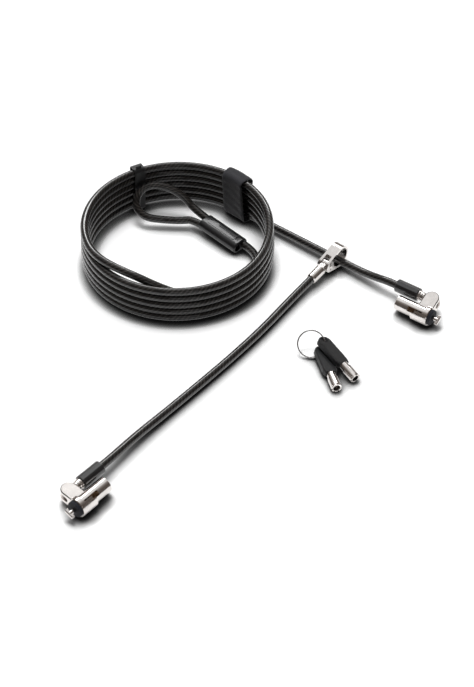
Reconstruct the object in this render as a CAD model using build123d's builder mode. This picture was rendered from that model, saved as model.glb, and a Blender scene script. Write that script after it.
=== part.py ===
from build123d import *
import math
import os

# Laptop cable lock with two T-bar locks: a long coiled cable with an anchor loop carries lock A,
# and a ring that slides on it carries a short cable with lock B. Two keys lie beside it.
# Millimetres. X right, Y away, Z up; everything rests on Z = 0, and the origin is on that surface,
# in the middle of the rigid pieces.

# ---- cable -------------------------------------------------------------------------------------
CABLE_D = 5.5
CABLE_R = CABLE_D / 2
FLOOR = CABLE_R                    # height of the centre of a cable that lies on the surface
CORD_SIDES = 8                     # sides of the wound cable's section

# ---- coil --------------------------------------------------------------------------------------
COIL_X = -56.1
COIL_Y = 120.3
COIL_RADIUS = 64.1                 # centre line of the wall's turns
COIL_GAP = 0.5                     # clear space between neighbouring turns
COIL_PITCH = CABLE_D + COIL_GAP
COIL_TURNS = 5                     # turns stacked on the first one
COIL_START = 50.5                  # degrees; the long stretch joins here
COIL_CLIMB_FROM = 315.0            # each turn climbs one layer between these two angles
COIL_CLIMB_TO = 390.0
COIL_BULGE = 0.4                   # slow drift of the turns' radius
COIL_BULGE_RATE = 0.13
COIL_LEAN = 0.11                   # the stack leans towards -Y by this share of its height
COIL_LIFT = 1.7                    # the back of the coil lies on the strap and the tie
COIL_TUCK = 7.3                    # the last turn ends this much further in
COIL_TUCK_FROM = 205.0             # degrees of the last turn where it leaves the top
COIL_TUCK_TO = 262.0
COIL_DROP_TO = 315.0               # degrees of the last turn where it lies on the surface
COIL_STOPS = (105.0, 180.0, 255.0, COIL_CLIMB_FROM, COIL_CLIMB_TO)   # ends of its arcs on each turn
COIL_DROP_LEAD = 20.0              # degrees by which it starts to come down before it is tucked in
STRETCH_LEAD = 12.0                # straight run of the long stretch where it joins the coil
TAIL_LEAD = 11.0                   # the same at the coil's other end

# ---- strap and tie -----------------------------------------------------------------------------
STRAP_ANGLE = 48.0
STRAP_WIDTH = 20.0
STRAP_T = 1.0
STRAP_CLEAR = 1.75                 # room for the long stretch that leaves inside the strap
STRAP_CORNER = 2.4
STRAP_FLAP_DROP = 2.0              # the free flap ends this far above the surface
STRAP_FLAP_CORNER = 4.0
TIE_ANGLE = 118.5
TIE_WIDTH = 8.0
TIE_T = 0.8
TIE_CLEAR = 0.9
TIE_CORNER = 2.0
TIE_TAB = 2.4                      # free end that stands above the coil
BAND_SEAT = 0.35                   # gap between a band and the turns it holds

# ---- lock: barrel, housing and side lug --------------------------------------------------------
SHELL_R = 5.2
SHELL_BORE_R = 4.25
SHELL_REAR = 25.5                  # rear face of the barrel, behind the front face of the housing
SHELL_CHAMFER = 0.5
HOUSING_R = 6.4
RING_LENGTH = 3.5                  # full ring at the front of the housing
FRONT_WALL = 2.2                   # closes the housing's front around the T-bar
BAND_LENGTH = 12.0                 # side bands that cradle the barrel
BAND_FROM = 46.0                   # degrees from the lug's normal, away from the lug
TONGUE_FROM = 27.0
TONGUE_TO = 40.0
TONGUE_LENGTH = 9.7
POCKET_FROM = 17.0                 # L-shaped slot in the barrel: a narrow leg beside the tongue
POCKET_NECK_TO = 27.0
POCKET_TO = 57.0                   # and a wide foot behind its tip
POCKET_REAR = 15.3
POCKET_FOOT = 9.9
POCKET_FRONT = 4.6
LUG_OFFSET = 11.4                  # pivot pin from the barrel axis
LUG_R = 5.1
LUG_T = 8.2
LUG_FILLET = 0.5
SEAT_GAP = 0.05                    # between pieces that are pressed or cemented together

# ---- lock: cylinder, plug and T-bar -------------------------------------------------------------
CYLINDER_FRONT = 9.0               # front face of the fixed cylinder
CYLINDER_INSET = 0.3               # its rear face lies inside the barrel's
SHEAR_LINE = 16.0                  # fixed and turning pins meet here
KEYWAY_R = 3.55
POST_R = 2.15
POST_INSET = 0.9
POST_NOTCH = 0.9
SHAFT_FRONT = 6.0                  # front end of the plug's shaft
FLANGE_LENGTH = 3.4
SHAFT_R = 1.7
RUN_FIT = 0.08                     # radial running fit of everything that turns
FACE_GAP = 0.12                    # between faces that slide past each other
PIN_COUNT = 7
PIN_CIRCLE_R = 2.7
PIN_R = 0.45
PIN_CLEAR = 0.07
PIN_PROUD = 0.7                    # tips that show in the keyway
DRIVER_LENGTH = 2.6
SPRING_LENGTH = 3.2
PIN_HOLE_SPARE = 0.2
SPRING_WALL = 0.2
CLIP_T = 0.8
CLIP_R = 3.3
CLIP_GROOVE_R = 1.3
CLIP_OPENING = 1.8
SHANK_R = 1.45
SHANK_TAIL_R = 0.9
SHANK_TAIL = 1.9
CROSSBAR_LENGTH = 6.6
CROSSBAR_HEIGHT = 2.4
CROSSBAR_T = 2.0
CROSSBAR_AT = 5.0                  # rear face of the crossbar, in front of the housing
CROSSBAR_FILLET = 0.4
CROSSBAR_LEAN = 13.0               # degrees that the bar rests turned from the lug's plane
BUMPER_R = 5.4
BUMPER_T = 2.0
BUMPER_FILLET = 0.5
SHANK_CLEAR = 0.3

# ---- cable fittings at the lug -----------------------------------------------------------------
PIVOT_R = 1.5
PIVOT_BLIND = 1.2                  # the pin's depth in the lug's closed face
EYE_R = 4.0
EYE_T = 3.1
EYE_NECK_WIDTH = 4.8
EYE_CLEAR = 0.3                    # between the eye and the lug's slot, all round
SLOT_REACH = 3.8                   # the lug's open slot ends this far towards the barrel
SHOULDER_AT = 6.2                  # distances behind the pivot pin
SHOULDER_T = 0.8
SHOULDER_R = 2.9
STUD_R = 1.42
STUD_HEAD_AT = 13.2
STUD_HEAD_T = 2.0
STUD_HEAD_R = 2.2
FERRULE_AT = 7.2
FERRULE_R = 3.6
FERRULE_NOSE_R = 3.3
FERRULE_NOSE = 1.4
FERRULE_GROOVE_R = 2.6
FERRULE_GROOVE = 0.6
FERRULE_END = 19.0
CABLE_STOP = 16.4                  # the cable's end, deep in the ferrule
SLEEVE_AT = 10.0
SLEEVE_END = 27.5
SLEEVE_R = 4.6
SLEEVE_FLAT = 4.35                 # distance of the two flat panels from the axis
SLEEVE_FILLET = 0.7
SLEEVE_LEAD = 7.5                  # the cable leaves a sleeve straight for this much
CABLE_CLEAR = 0.1                  # radial, where a cable runs into a fitting

# ---- sliding ring on the long cable ------------------------------------------------------------
SHACKLE_WIDTH = 8.6
SHACKLE_T = 1.6
SHACKLE_EYE_R = 4.2
SHACKLE_FAR_R = 8.0
SHACKLE_FAR_AT = 13.0
SHACKLE_HOLLOW_AT = 8.8
SHACKLE_TAPER = 0.8                # the far end is this much narrower on either side
KNUCKLE_T = 4.0
KNUCKLE_R = 3.5
KNUCKLE_NECK = 5.8
KNUCKLE_SLOT_TO = 4.0
KNUCKLE_CLEAR = 0.2
STAKE_LENGTH = 1.7                 # two punched marks on each ear lock the ring's pin
STAKE_WIDTH = 0.8
STAKE_DEPTH = 0.4
STAKE_AT = 2.5                     # from the pin's axis
RING_PIN_R = 1.3
RING_PIN_PROUD = 0.3
RING_PIN_HEIGHT = 7.5
CRIMP_AT = 5.4
CRIMP_END = 17.0
CRIMP_R = 3.7
CRIMP_BORE = 8.0                   # the cable's end, this far from the ring's pin
CRIMP_CHAMFER = 0.6
CRIMP_LEAD = 7.0                   # the short cable leaves the crimp straight for this much
CRIMP_SLOPE = 8.0                  # degrees that the short cable's ferrule points down

# ---- anchor loop -------------------------------------------------------------------------------
LOOP_SPACING = 6.2                 # the loop's two legs side by side in the sleeve
LOOP_SLEEVE_LENGTH = 35.5
LOOP_SLEEVE_HEIGHT = 8.0
LOOP_SLEEVE_WALL = 0.95            # beside the two legs
LOOP_SLEEVE_FILLET = 1.2
LOOP_SLEEVE_SLOPE = 4.0
LOOP_PANEL_T = 0.3                 # raised panel on the sleeve's top
LOOP_PANEL_LENGTH = 25.0
LOOP_PANEL_WIDTH = 4.6
LOOP_FERRULE_INSET = 5.0
LOOP_FERRULE_WALL = 0.45
LOOP_RETURN_AT = 9.0               # where the loop's free end stops in the ferrule
LOOP_LEAD_OUT = 11.0               # the loop's legs leave the sleeve straight for these
LOOP_LEAD_BACK = 6.0

# ---- keys and their ring -----------------------------------------------------------------------
KEY_BOW_LENGTH = 26.0
KEY_BOW_WIDTH = 9.8
KEY_BOW_T = 4.4
KEY_BOW_FILLET = 0.7
KEY_SHOULDER = 2.0                 # the bow narrows by this much at the barrel
KEY_SHOULDER_LENGTH = 3.0
KEY_HOLE_AT = 4.9                  # hole's centre from the bow's round end
KEY_HOLE_R = 2.1                   # the hole is drilled along the split ring's wire
KEY_BARREL_LENGTH = 13.0
KEY_R = 3.4
KEY_BORE_R = 2.35
KEY_BORE_DEPTH = 9.0
KEY_NECK_R = 2.95                  # plain neck between the bow and the cut end
KEY_NECK_LENGTH = 4.0
KEY_TANG = 7.0                     # length of the barrel that is moulded into the bow
KEY_TANG_R = 1.7
KEY_CUT_R = 0.55
KEY_CUTS = (1.0, 1.9, 1.3, 2.3, 0.8, 1.6, 2.0)
KEY_NIB = 0.5
KEY_NIB_WIDTH = 0.8
SPLIT_RING_R = 8.9
SPLIT_RING_WIRE_R = 0.45
SPLIT_RING_PITCH = 1.35            # between its two turns
SPLIT_RING_CROSSING = 40.0         # degrees in which the wire passes from one turn to the other
SPLIT_RING_OPENING = 4.0           # degrees left open at each end of the wire

# ---- layout ------------------------------------------------------------------------------------
LOCK_A_PIVOT = (115.8, 63.6)
LOCK_A_HEADING = -35.5             # degrees of the T-bar's direction in plan
LOCK_A_ROLL = 20.0                 # degrees that the lug is raised
LOCK_B_PIVOT = (-116.1, -105.5)
LOCK_B_HEADING = 229.5
LOCK_B_ROLL = 6.0
RING_LINE_START = (32.4, 130.9, 4.75)
RING_LINE_HEADING = -39.5
RING_LINE_LENGTH = 45.0
RING_AT = 27.5                     # the ring rests this far along the straight run
RING_CABLE_OFFSET = 11.9           # long cable's centre from the ring's pin
LOOP_SLEEVE_START = (-12.5, 127.1, 4.55)
LOOP_SLEEVE_HEADING = 136.5
SPLIT_RING_CENTRE = (33.5, 24.3, 7.7)
SPLIT_RING_SLOPE = 49.5            # degrees between the ring and the surface
KEY_1_AT = 2.0                     # degrees round the split ring, from its right-hand side
KEY_1_HEADING = -56.0
KEY_1_SLOPE = -7.6
KEY_1_ROLL = -18.0
KEY_2_AT = -40.0
KEY_2_HEADING = -75.5
KEY_2_SLOPE = 0.2
KEY_2_ROLL = -14.0

os.makedirs("parts", exist_ok=True)


def save(piece, name, place=Plane.XY):
    """Put a finished piece in its place, label it and write it as its own node."""
    placed = piece.part.moved(place.location)
    placed.label = name
    export_step(placed, f"parts/{name}.step")


def heading(angle, slope=0.0):
    """Unit vector that points along a plan angle, rising by a slope in degrees."""
    plan = math.cos(math.radians(slope))
    return Vector(
        plan * math.cos(math.radians(angle)),
        plan * math.sin(math.radians(angle)),
        math.sin(math.radians(slope)),
    )


def laid_frame(origin, angle, roll=0.0, slope=0.0, flipped=False):
    """Frame of a piece that lies at a plan angle: x along it, y to its side, raised by the roll."""
    forward = heading(angle, slope)
    side = heading(angle - 90 if flipped else angle + 90)
    up = side.cross(forward) if flipped else forward.cross(side)
    raised = side * math.cos(math.radians(roll)) + up * math.sin(math.radians(roll))
    return Plane(origin=origin, x_dir=forward, z_dir=forward.cross(raised))


def station(frame, x, y=0.0, z=0.0):
    """Plane square to a frame's x axis; its own x and y are the frame's y and z."""
    origin = frame.from_local_coords(Vector(x, y, z))
    return Plane(origin=origin, x_dir=frame.y_dir, z_dir=frame.x_dir)


def turned(frame, rear, front, radius, axis_y=0.0, mode=Mode.ADD):
    """Round stretch of the open part between two places on a line along a frame's x axis."""
    with BuildSketch(station(frame, rear, axis_y)) as section:
        Circle(radius)
    extrude(section.sketch, amount=front - rear, mode=mode)


def sector(frame, rear, front, radii, angles, axis_y=0.0, mode=Mode.ADD):
    """Part of a tube's wall between two radii and two angles round the same kind of line."""
    with BuildSketch(station(frame, rear, axis_y)) as section:
        with BuildLine():
            inner = CenterArc((0, 0), radii[0], angles[0], angles[1] - angles[0])
            outer = CenterArc((0, 0), radii[1], angles[0], angles[1] - angles[0])
            Line(inner @ 0, outer @ 0)
            Line(inner @ 1, outer @ 1)
        make_face()
    extrude(section.sketch, amount=front - rear, mode=mode)


def end_rims(frame, at, radius):
    """Edges of the open part's rim of one radius at a place along a frame's x axis."""
    return [
        edge
        for edge in edges().filter_by(GeomType.CIRCLE)
        if abs(edge.radius - radius) < 0.01
        and abs(frame.to_local_coords(edge.center(CenterOf.BOUNDING_BOX)).X - at) < 0.01
    ]


def cord_radii(points):
    """Largest arc that each corner's two runs allow, one radius for each corner."""
    radii = []
    for before, corner, after in zip(points, points[1:], points[2:]):
        run_in = Vector(*corner) - Vector(*before)
        run_out = Vector(*after) - Vector(*corner)
        half_turn = math.radians(run_in.get_angle(run_out) / 2)
        radii.append(0.45 * min(run_in.length, run_out.length) / math.tan(half_turn))
    return radii


def build_cord(points, name):
    """A plain stretch of cable through hand-chosen points, and its length."""
    radii = cord_radii(points)
    with BuildPart() as cord:
        with BuildLine() as route:
            FilletPolyline(*points, radius=radii)
        with BuildSketch(Plane(origin=route.line @ 0, z_dir=route.line % 0)):
            Circle(CABLE_R)
        sweep(path=route.line)
    length = route.wires()[0].length
    share = cord.part.volume / (math.pi * CABLE_R**2 * length)
    print(f"{name}: {length:.1f} mm, radii {[round(r, 1) for r in radii]}, volume share {share:.4f}")
    save(cord, name)
    return length


# ---- coil --------------------------------------------------------------------------------------
def smooth(value):
    """Ease from 0 to 1 with level ends."""
    value = min(max(value, 0.0), 1.0)
    return value * value * (3 - 2 * value)


COIL_LAST_TURN = 360.0 * COIL_TURNS
COIL_END = COIL_LAST_TURN + COIL_DROP_TO


def coil_layer(angle):
    """Number of layers climbed at an angle along the winding."""
    done = math.floor((angle - COIL_CLIMB_FROM) / 360)
    climb = (angle - COIL_CLIMB_FROM - 360 * done) / (COIL_CLIMB_TO - COIL_CLIMB_FROM)
    return done + smooth(climb)


def coil_point(angle):
    """Centre of the cable at an angle along the winding, in degrees from +X."""
    tuck = smooth((angle - COIL_LAST_TURN - COIL_TUCK_FROM) / (COIL_TUCK_TO - COIL_TUCK_FROM))
    swing = math.radians(90 * tuck)
    drop_from = COIL_LAST_TURN + COIL_TUCK_TO - COIL_DROP_LEAD
    drop = smooth((angle - drop_from) / (COIL_DROP_TO - COIL_TUCK_TO + COIL_DROP_LEAD))
    layer = coil_layer(angle)
    if angle > COIL_LAST_TURN + COIL_TUCK_FROM:
        layer = (COIL_TURNS - 1 + math.cos(swing)) * (1 - drop)
    height = layer * COIL_PITCH
    radius = COIL_RADIUS + COIL_BULGE * math.sin(math.radians(COIL_BULGE_RATE * angle))
    radius -= COIL_TUCK * math.sin(swing)
    turn = math.radians(angle)
    lift = COIL_LIFT * (1 + math.sin(turn)) / 2
    return Vector(
        COIL_X + radius * math.cos(turn),
        COIL_Y + radius * math.sin(turn) - COIL_LEAN * height,
        FLOOR + lift + height,
    )


def coil_direction(angle):
    """Unit tangent of the winding."""
    return (coil_point(angle + 0.5) - coil_point(angle - 0.5)).normalized()


def biarc(start, start_dir, end, end_dir):
    """Two arcs that leave start and reach end along the given directions."""
    chord = end - start
    both = start_dir + end_dir
    spread = 2 * (1 - start_dir.dot(end_dir))
    root = math.sqrt(chord.dot(both) ** 2 + spread * chord.dot(chord))
    reach = (root - chord.dot(both)) / spread
    joint = (start + end + (start_dir - end_dir) * reach) / 2
    first = TangentArc(start, joint, tangent=start_dir)
    TangentArc(joint, end, tangent=first % 1)


def even_steps(first, last, count):
    """First angle of each of a number of equal steps between two angles."""
    return [first + (last - first) * i / count for i in range(count)]


def coil_stops():
    """Angles where one biarc of the winding ends and the next begins."""
    stops = [COIL_START]
    for turn in range(COIL_TURNS + 1):
        stops += [360 * turn + angle for angle in COIL_STOPS[:2]]
        if turn < COIL_TURNS:
            stops += [360 * turn + angle for angle in COIL_STOPS[2:]]
    tuck = even_steps(COIL_TUCK_FROM, COIL_TUCK_TO, 4) + [COIL_TUCK_TO]
    drop = even_steps(COIL_TUCK_TO, COIL_DROP_TO, 3)[1:] + [COIL_DROP_TO]
    return stops + [COIL_LAST_TURN + angle for angle in tuck + drop]


def least_gap():
    """Smallest clear distance between parts of the winding more than a third of a turn apart."""
    angles = [COIL_START + 3 * i for i in range(int((COIL_END - COIL_START) / 3) + 1)]
    points = [coil_point(angle) for angle in angles]
    near = min(
        (a - b).length
        for i, a in enumerate(points)
        for b in points[i + 40 :]
        if abs(a.X - b.X) + abs(a.Y - b.Y) < 2 * CABLE_D
    )
    return near - CABLE_D


stops = coil_stops()
with BuildPart() as coil:
    with BuildLine() as winding:
        for here, there in zip(stops, stops[1:]):
            biarc(coil_point(here), coil_direction(here), coil_point(there), coil_direction(there))
    with BuildSketch(Plane(origin=coil_point(COIL_START), z_dir=coil_direction(COIL_START))):
        RegularPolygon(CABLE_R, CORD_SIDES)
    sweep(path=winding.line, clean=False)
coil_length = winding.wires()[0].length
print(f"coil: {coil_length:.0f} mm, least gap {least_gap():.2f} mm")
save(coil, "long_cable_coil")


# ---- strap and tie -----------------------------------------------------------------------------
def band_frame(angle):
    """Plane square to the winding: x outward, y up, origin on the surface below the first turn."""
    outward = heading(angle)
    origin = Vector(COIL_X, COIL_Y, 0) + outward * COIL_RADIUS
    return Plane(origin=origin, x_dir=outward, z_dir=heading(angle - 90))


def band_profile(angle, clear, thickness):
    """Four corners of the room that a band leaves for the stack of turns."""
    lean = COIL_LEAN * COIL_TURNS * COIL_PITCH * math.sin(math.radians(angle))
    top = coil_point(COIL_LAST_TURN + angle).Z + CABLE_R + BAND_SEAT
    half = CABLE_R + clear
    return [(-half, thickness), (half, thickness), (half - lean, top), (-half - lean, top)]


def build_band(angle, width, thickness, clear, corner):
    """Closed band round the whole stack."""
    frame = band_frame(angle)
    with BuildPart() as band:
        with BuildSketch(frame.offset(-width / 2)) as section:
            with BuildLine():
                Polyline(*band_profile(angle, clear, thickness), close=True)
            make_face()
            fillet(section.vertices(), corner)
            offset(amount=thickness)
        extrude(amount=width)
        with BuildSketch(frame.offset(-width / 2)) as room:
            with BuildLine():
                Polyline(*band_profile(angle, clear, thickness), close=True)
            make_face()
            fillet(room.vertices(), corner)
        extrude(amount=width, mode=Mode.SUBTRACT)
    return band


strap = build_band(STRAP_ANGLE, STRAP_WIDTH, STRAP_T, STRAP_CLEAR, STRAP_CORNER)
inner_foot, outer_foot, outer_head, inner_head = band_profile(STRAP_ANGLE, STRAP_CLEAR, STRAP_T)
strap_frame = band_frame(STRAP_ANGLE)
flap_up = Vector(inner_head[0] - inner_foot[0], inner_head[1] - inner_foot[1]).normalized()
flap_start = strap_frame.from_local_coords(Vector(inner_foot[0] - STRAP_T, inner_foot[1]))
flap_plane = Plane(
    origin=flap_start,
    x_dir=strap_frame.z_dir,
    z_dir=strap_frame.x_dir * -flap_up.Y + strap_frame.y_dir * flap_up.X,
)
flap_length = math.hypot(inner_head[0] - inner_foot[0], inner_head[1] - inner_foot[1])
with BuildPart() as strap_flap:
    with BuildSketch(flap_plane) as flap:
        with Locations((0, (flap_length - STRAP_CORNER + STRAP_FLAP_DROP) / 2)):
            Rectangle(STRAP_WIDTH, flap_length - STRAP_CORNER - STRAP_FLAP_DROP)
        fillet(flap.vertices().group_by(Axis.Z)[0], STRAP_FLAP_CORNER)
    extrude(amount=STRAP_T)
with BuildPart() as whole_strap:
    add(strap.part)
    add(strap_flap.part)
save(whole_strap, "hook_and_loop_strap")

tie = build_band(TIE_ANGLE, TIE_WIDTH, TIE_T, TIE_CLEAR, TIE_CORNER)
tie_frame = band_frame(TIE_ANGLE)
tie_top = band_profile(TIE_ANGLE, TIE_CLEAR, TIE_T)[3]
with BuildPart() as whole_tie:
    add(tie.part)
    with BuildSketch(tie_frame.offset(-TIE_WIDTH / 4)):
        with Locations((tie_top[0] + TIE_CORNER, tie_top[1] + TIE_T / 2)):
            Rectangle(TIE_T, TIE_TAB, align=(Align.CENTER, Align.MIN))
    extrude(amount=TIE_WIDTH / 2)
save(whole_tie, "bundle_tie")


# ---- locks -------------------------------------------------------------------------------------
# A lock is built in its own frame, with the pivot pin at the origin, x towards the T-bar and y from
# the barrel to the lug. It is then put in its place.
HEAD = Plane.XY
FRONT = LUG_R                      # front face of the housing, from the pivot pin
BARREL_Y = -LUG_OFFSET             # barrel axis
SLOT_HEIGHT = EYE_T + 2 * EYE_CLEAR


def barrel_bar(rear, front, radius, mode=Mode.ADD):
    """Round stretch on the barrel axis between two depths behind the housing's front face."""
    turned(HEAD, FRONT - rear, FRONT - front, radius, BARREL_Y, mode)


def both_sides(rear, front, radii, spread, mode=Mode.ADD):
    """Two mirrored wall parts, between angles from the lug's normal on the side away from it."""
    for side in (1, -1):
        angles = [side * (90 + angle) for angle in spread]
        sector(HEAD, FRONT - rear, FRONT - front, radii, angles, BARREL_Y, mode)


def build_housing(pin_side):
    """Die-cast housing: front ring, bands round the barrel and the forked lug."""
    with BuildPart() as lug:
        with BuildSketch(HEAD.offset(-LUG_T / 2)) as plate:
            Circle(LUG_R)
            Rectangle(2 * LUG_R, LUG_OFFSET, align=(Align.CENTER, Align.MAX))
        extrude(plate.sketch, amount=LUG_T)
        plate_faces = faces().sort_by(Axis.Z)
        fillet(plate_faces[0].edges() + plate_faces[-1].edges(), LUG_FILLET)
    with BuildPart() as housing:
        barrel_bar(RING_LENGTH, 0, HOUSING_R)
        chamfer(end_rims(HEAD, FRONT, HOUSING_R), SHELL_CHAMFER)
        add(lug.part)
        wall = (SHELL_R - SEAT_GAP, HOUSING_R)
        both_sides(BAND_LENGTH, 0, wall, (BAND_FROM, 90))
        both_sides(TONGUE_LENGTH, 0, wall, (TONGUE_FROM, TONGUE_TO))
        barrel_bar(SHELL_REAR, FRONT_WALL, SHELL_R + SEAT_GAP, Mode.SUBTRACT)
        barrel_bar(RING_LENGTH, -1, SHANK_R + SHANK_CLEAR, Mode.SUBTRACT)
        with BuildSketch(station(HEAD, -LUG_R - 1)) as slot:
            with Locations((SLOT_HEIGHT / 2 - SLOT_REACH, 0)):
                Circle(SLOT_HEIGHT / 2)
                Rectangle(3 * LUG_R, SLOT_HEIGHT, align=(Align.MIN, Align.CENTER))
        extrude(slot.sketch, amount=2 * LUG_R + 2, mode=Mode.SUBTRACT)
        with BuildSketch(HEAD.offset(-SLOT_HEIGHT / 2)) as eye_room:
            Circle(EYE_R + EYE_CLEAR)
        extrude(eye_room.sketch, amount=SLOT_HEIGHT, mode=Mode.SUBTRACT)
        with BuildSketch(HEAD.offset(-pin_side * (SLOT_HEIGHT / 2 + PIVOT_BLIND))) as pin_hole:
            Circle(PIVOT_R)
        extrude(pin_hole.sketch, amount=pin_side * LUG_T, mode=Mode.SUBTRACT)
    return housing


def build_pivot_pin(pin_side):
    """Pin pressed into the lug from its hidden face."""
    blind_end = -pin_side * (SLOT_HEIGHT / 2 + PIVOT_BLIND)
    with BuildPart() as pivot_pin:
        with BuildSketch(HEAD.offset(blind_end)) as section:
            Circle(PIVOT_R)
        extrude(section.sketch, amount=pin_side * LUG_T / 2 - blind_end)
    return pivot_pin


def build_barrel():
    """Steel barrel with an L-shaped opening on each side of its outer face."""
    room = (SHELL_BORE_R - 1, SHELL_R + 1)
    with BuildPart() as barrel:
        barrel_bar(SHELL_REAR, FRONT_WALL, SHELL_R)
        chamfer(end_rims(HEAD, FRONT - SHELL_REAR, SHELL_R), SHELL_CHAMFER)
        barrel_bar(SHELL_REAR + 1, 0, SHELL_BORE_R, Mode.SUBTRACT)
        neck = (POCKET_FROM, POCKET_NECK_TO)
        both_sides(POCKET_REAR, POCKET_FRONT, room, neck, Mode.SUBTRACT)
        foot = (POCKET_FROM, POCKET_TO)
        both_sides(POCKET_REAR, POCKET_FOOT, room, foot, Mode.SUBTRACT)
    return barrel


def pin_row(rear, front, radius, mode=Mode.ADD):
    """Seven round stretches on the pin circle, between two depths."""
    with BuildSketch(station(HEAD, FRONT - rear, BARREL_Y)) as row:
        with PolarLocations(PIN_CIRCLE_R, PIN_COUNT):
            Circle(radius)
    extrude(row.sketch, amount=rear - front, mode=mode)


def build_cylinder():
    """Fixed cylinder: ring-shaped keyway at the rear, pin holes and the plug's bearing."""
    driver_end = SHEAR_LINE - DRIVER_LENGTH - SPRING_LENGTH - PIN_HOLE_SPARE
    rear = SHELL_REAR - CYLINDER_INSET
    with BuildPart() as cylinder:
        barrel_bar(rear, CYLINDER_FRONT, SHELL_BORE_R - SEAT_GAP)
        barrel_bar(rear, SHEAR_LINE, KEYWAY_R, Mode.SUBTRACT)
        barrel_bar(SHEAR_LINE, CYLINDER_FRONT, SHAFT_R + RUN_FIT, Mode.SUBTRACT)
        pin_row(SHEAR_LINE, driver_end, PIN_R + PIN_CLEAR, Mode.SUBTRACT)
    return cylinder


def build_plug():
    """Turning plug: centre post, flange with the key pins and a shaft for the T-bar."""
    flange_rear = SHEAR_LINE + FLANGE_LENGTH
    post_rear = SHELL_REAR - CYLINDER_INSET - POST_INSET
    clip_front = CYLINDER_FRONT - 2 * FACE_GAP - CLIP_T
    with BuildPart() as plug:
        barrel_bar(post_rear, flange_rear, POST_R)
        barrel_bar(flange_rear, SHEAR_LINE + FACE_GAP, KEYWAY_R - RUN_FIT)
        barrel_bar(SHEAR_LINE + FACE_GAP, CYLINDER_FRONT - FACE_GAP, SHAFT_R)
        barrel_bar(CYLINDER_FRONT - FACE_GAP, clip_front, CLIP_GROOVE_R)
        barrel_bar(clip_front, SHAFT_FRONT, SHAFT_R)
        pin_row(flange_rear, SHEAR_LINE, PIN_R + PIN_CLEAR, Mode.SUBTRACT)
        tail_room = SHAFT_FRONT + SHANK_TAIL + FACE_GAP
        barrel_bar(tail_room, SHAFT_FRONT, SHANK_TAIL_R + SEAT_GAP, Mode.SUBTRACT)
        with BuildSketch(station(HEAD, FRONT - post_rear, BARREL_Y)) as notch:
            with Locations((0, POST_R)):
                Rectangle(POST_NOTCH, POST_NOTCH)
        extrude(notch.sketch, amount=post_rear - flange_rear, mode=Mode.SUBTRACT)
    return plug


DRIVER_REAR = SHEAR_LINE - FACE_GAP
SPRING_REAR = DRIVER_REAR - DRIVER_LENGTH


def build_key_pins():
    """The pins in the plug that the key pushes."""
    with BuildPart() as key_pins:
        pin_row(SHEAR_LINE + FLANGE_LENGTH + PIN_PROUD, SHEAR_LINE + FACE_GAP, PIN_R)
    return key_pins


def build_driver_pins():
    """The pins in the cylinder, in line with the key pins."""
    with BuildPart() as driver_pins:
        pin_row(DRIVER_REAR, SPRING_REAR, PIN_R)
    return driver_pins


def build_pin_springs():
    """The springs in front of the driver pins."""
    with BuildPart() as pin_springs:
        pin_row(SPRING_REAR, SPRING_REAR - SPRING_LENGTH, PIN_R)
        pin_row(SPRING_REAR, SPRING_REAR - SPRING_LENGTH, PIN_R - SPRING_WALL, Mode.SUBTRACT)
    return pin_springs


def build_clip():
    """Open ring in the shaft's groove that keeps the plug in the cylinder."""
    with BuildPart() as clip:
        with BuildSketch(station(HEAD, FRONT - CYLINDER_FRONT + 1.5 * FACE_GAP, BARREL_Y)) as ring:
            Circle(CLIP_R)
            Circle(CLIP_GROOVE_R + SEAT_GAP, mode=Mode.SUBTRACT)
            Rectangle(CLIP_R + 1, CLIP_OPENING, align=(Align.MIN, Align.CENTER), mode=Mode.SUBTRACT)
        extrude(ring.sketch, amount=CLIP_T)
    return clip


def build_t_bar(lean):
    """T-bar that goes through a 3 x 7 mm security slot and is turned across it."""
    with BuildPart() as t_bar:
        with BuildSketch(station(HEAD, FRONT + CROSSBAR_AT, BARREL_Y)) as head:
            Rectangle(CROSSBAR_LENGTH, CROSSBAR_HEIGHT, rotation=lean)
            fillet(head.vertices(), CROSSBAR_FILLET)
        extrude(head.sketch, amount=CROSSBAR_T)
        chamfer(faces().sort_by(Axis.X)[-1].edges(), CROSSBAR_FILLET)
        barrel_bar(SHAFT_FRONT - SEAT_GAP, -CROSSBAR_AT - CROSSBAR_T / 2, SHANK_R)
        barrel_bar(SHAFT_FRONT + SHANK_TAIL, SHAFT_FRONT - SEAT_GAP, SHANK_TAIL_R)
    return t_bar


def build_bumper():
    """Rubber washer on the front face that takes up the play against the slot's wall."""
    with BuildPart() as bumper:
        barrel_bar(0, -BUMPER_T, BUMPER_R)
        fillet(end_rims(HEAD, FRONT + BUMPER_T, BUMPER_R), BUMPER_FILLET)
        barrel_bar(1, -BUMPER_T - 1, SHANK_R + SHANK_CLEAR, Mode.SUBTRACT)
    return bumper


def build_cable_eye():
    """Flat eye on the pivot pin with a headed stud that turns inside the ferrule."""
    with BuildPart() as eye:
        with BuildSketch(HEAD.offset(-EYE_T / 2)) as flat:
            Circle(EYE_R)
            Rectangle(SHOULDER_AT, EYE_NECK_WIDTH, align=(Align.MAX, Align.CENTER))
            Circle(PIVOT_R + RUN_FIT, mode=Mode.SUBTRACT)
        extrude(flat.sketch, amount=EYE_T)
        turned(HEAD, -SHOULDER_AT - SHOULDER_T, -SHOULDER_AT, SHOULDER_R)
        turned(HEAD, -STUD_HEAD_AT, -SHOULDER_AT, STUD_R)
        turned(HEAD, -STUD_HEAD_AT - STUD_HEAD_T, -STUD_HEAD_AT, STUD_HEAD_R)
    return eye


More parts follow.
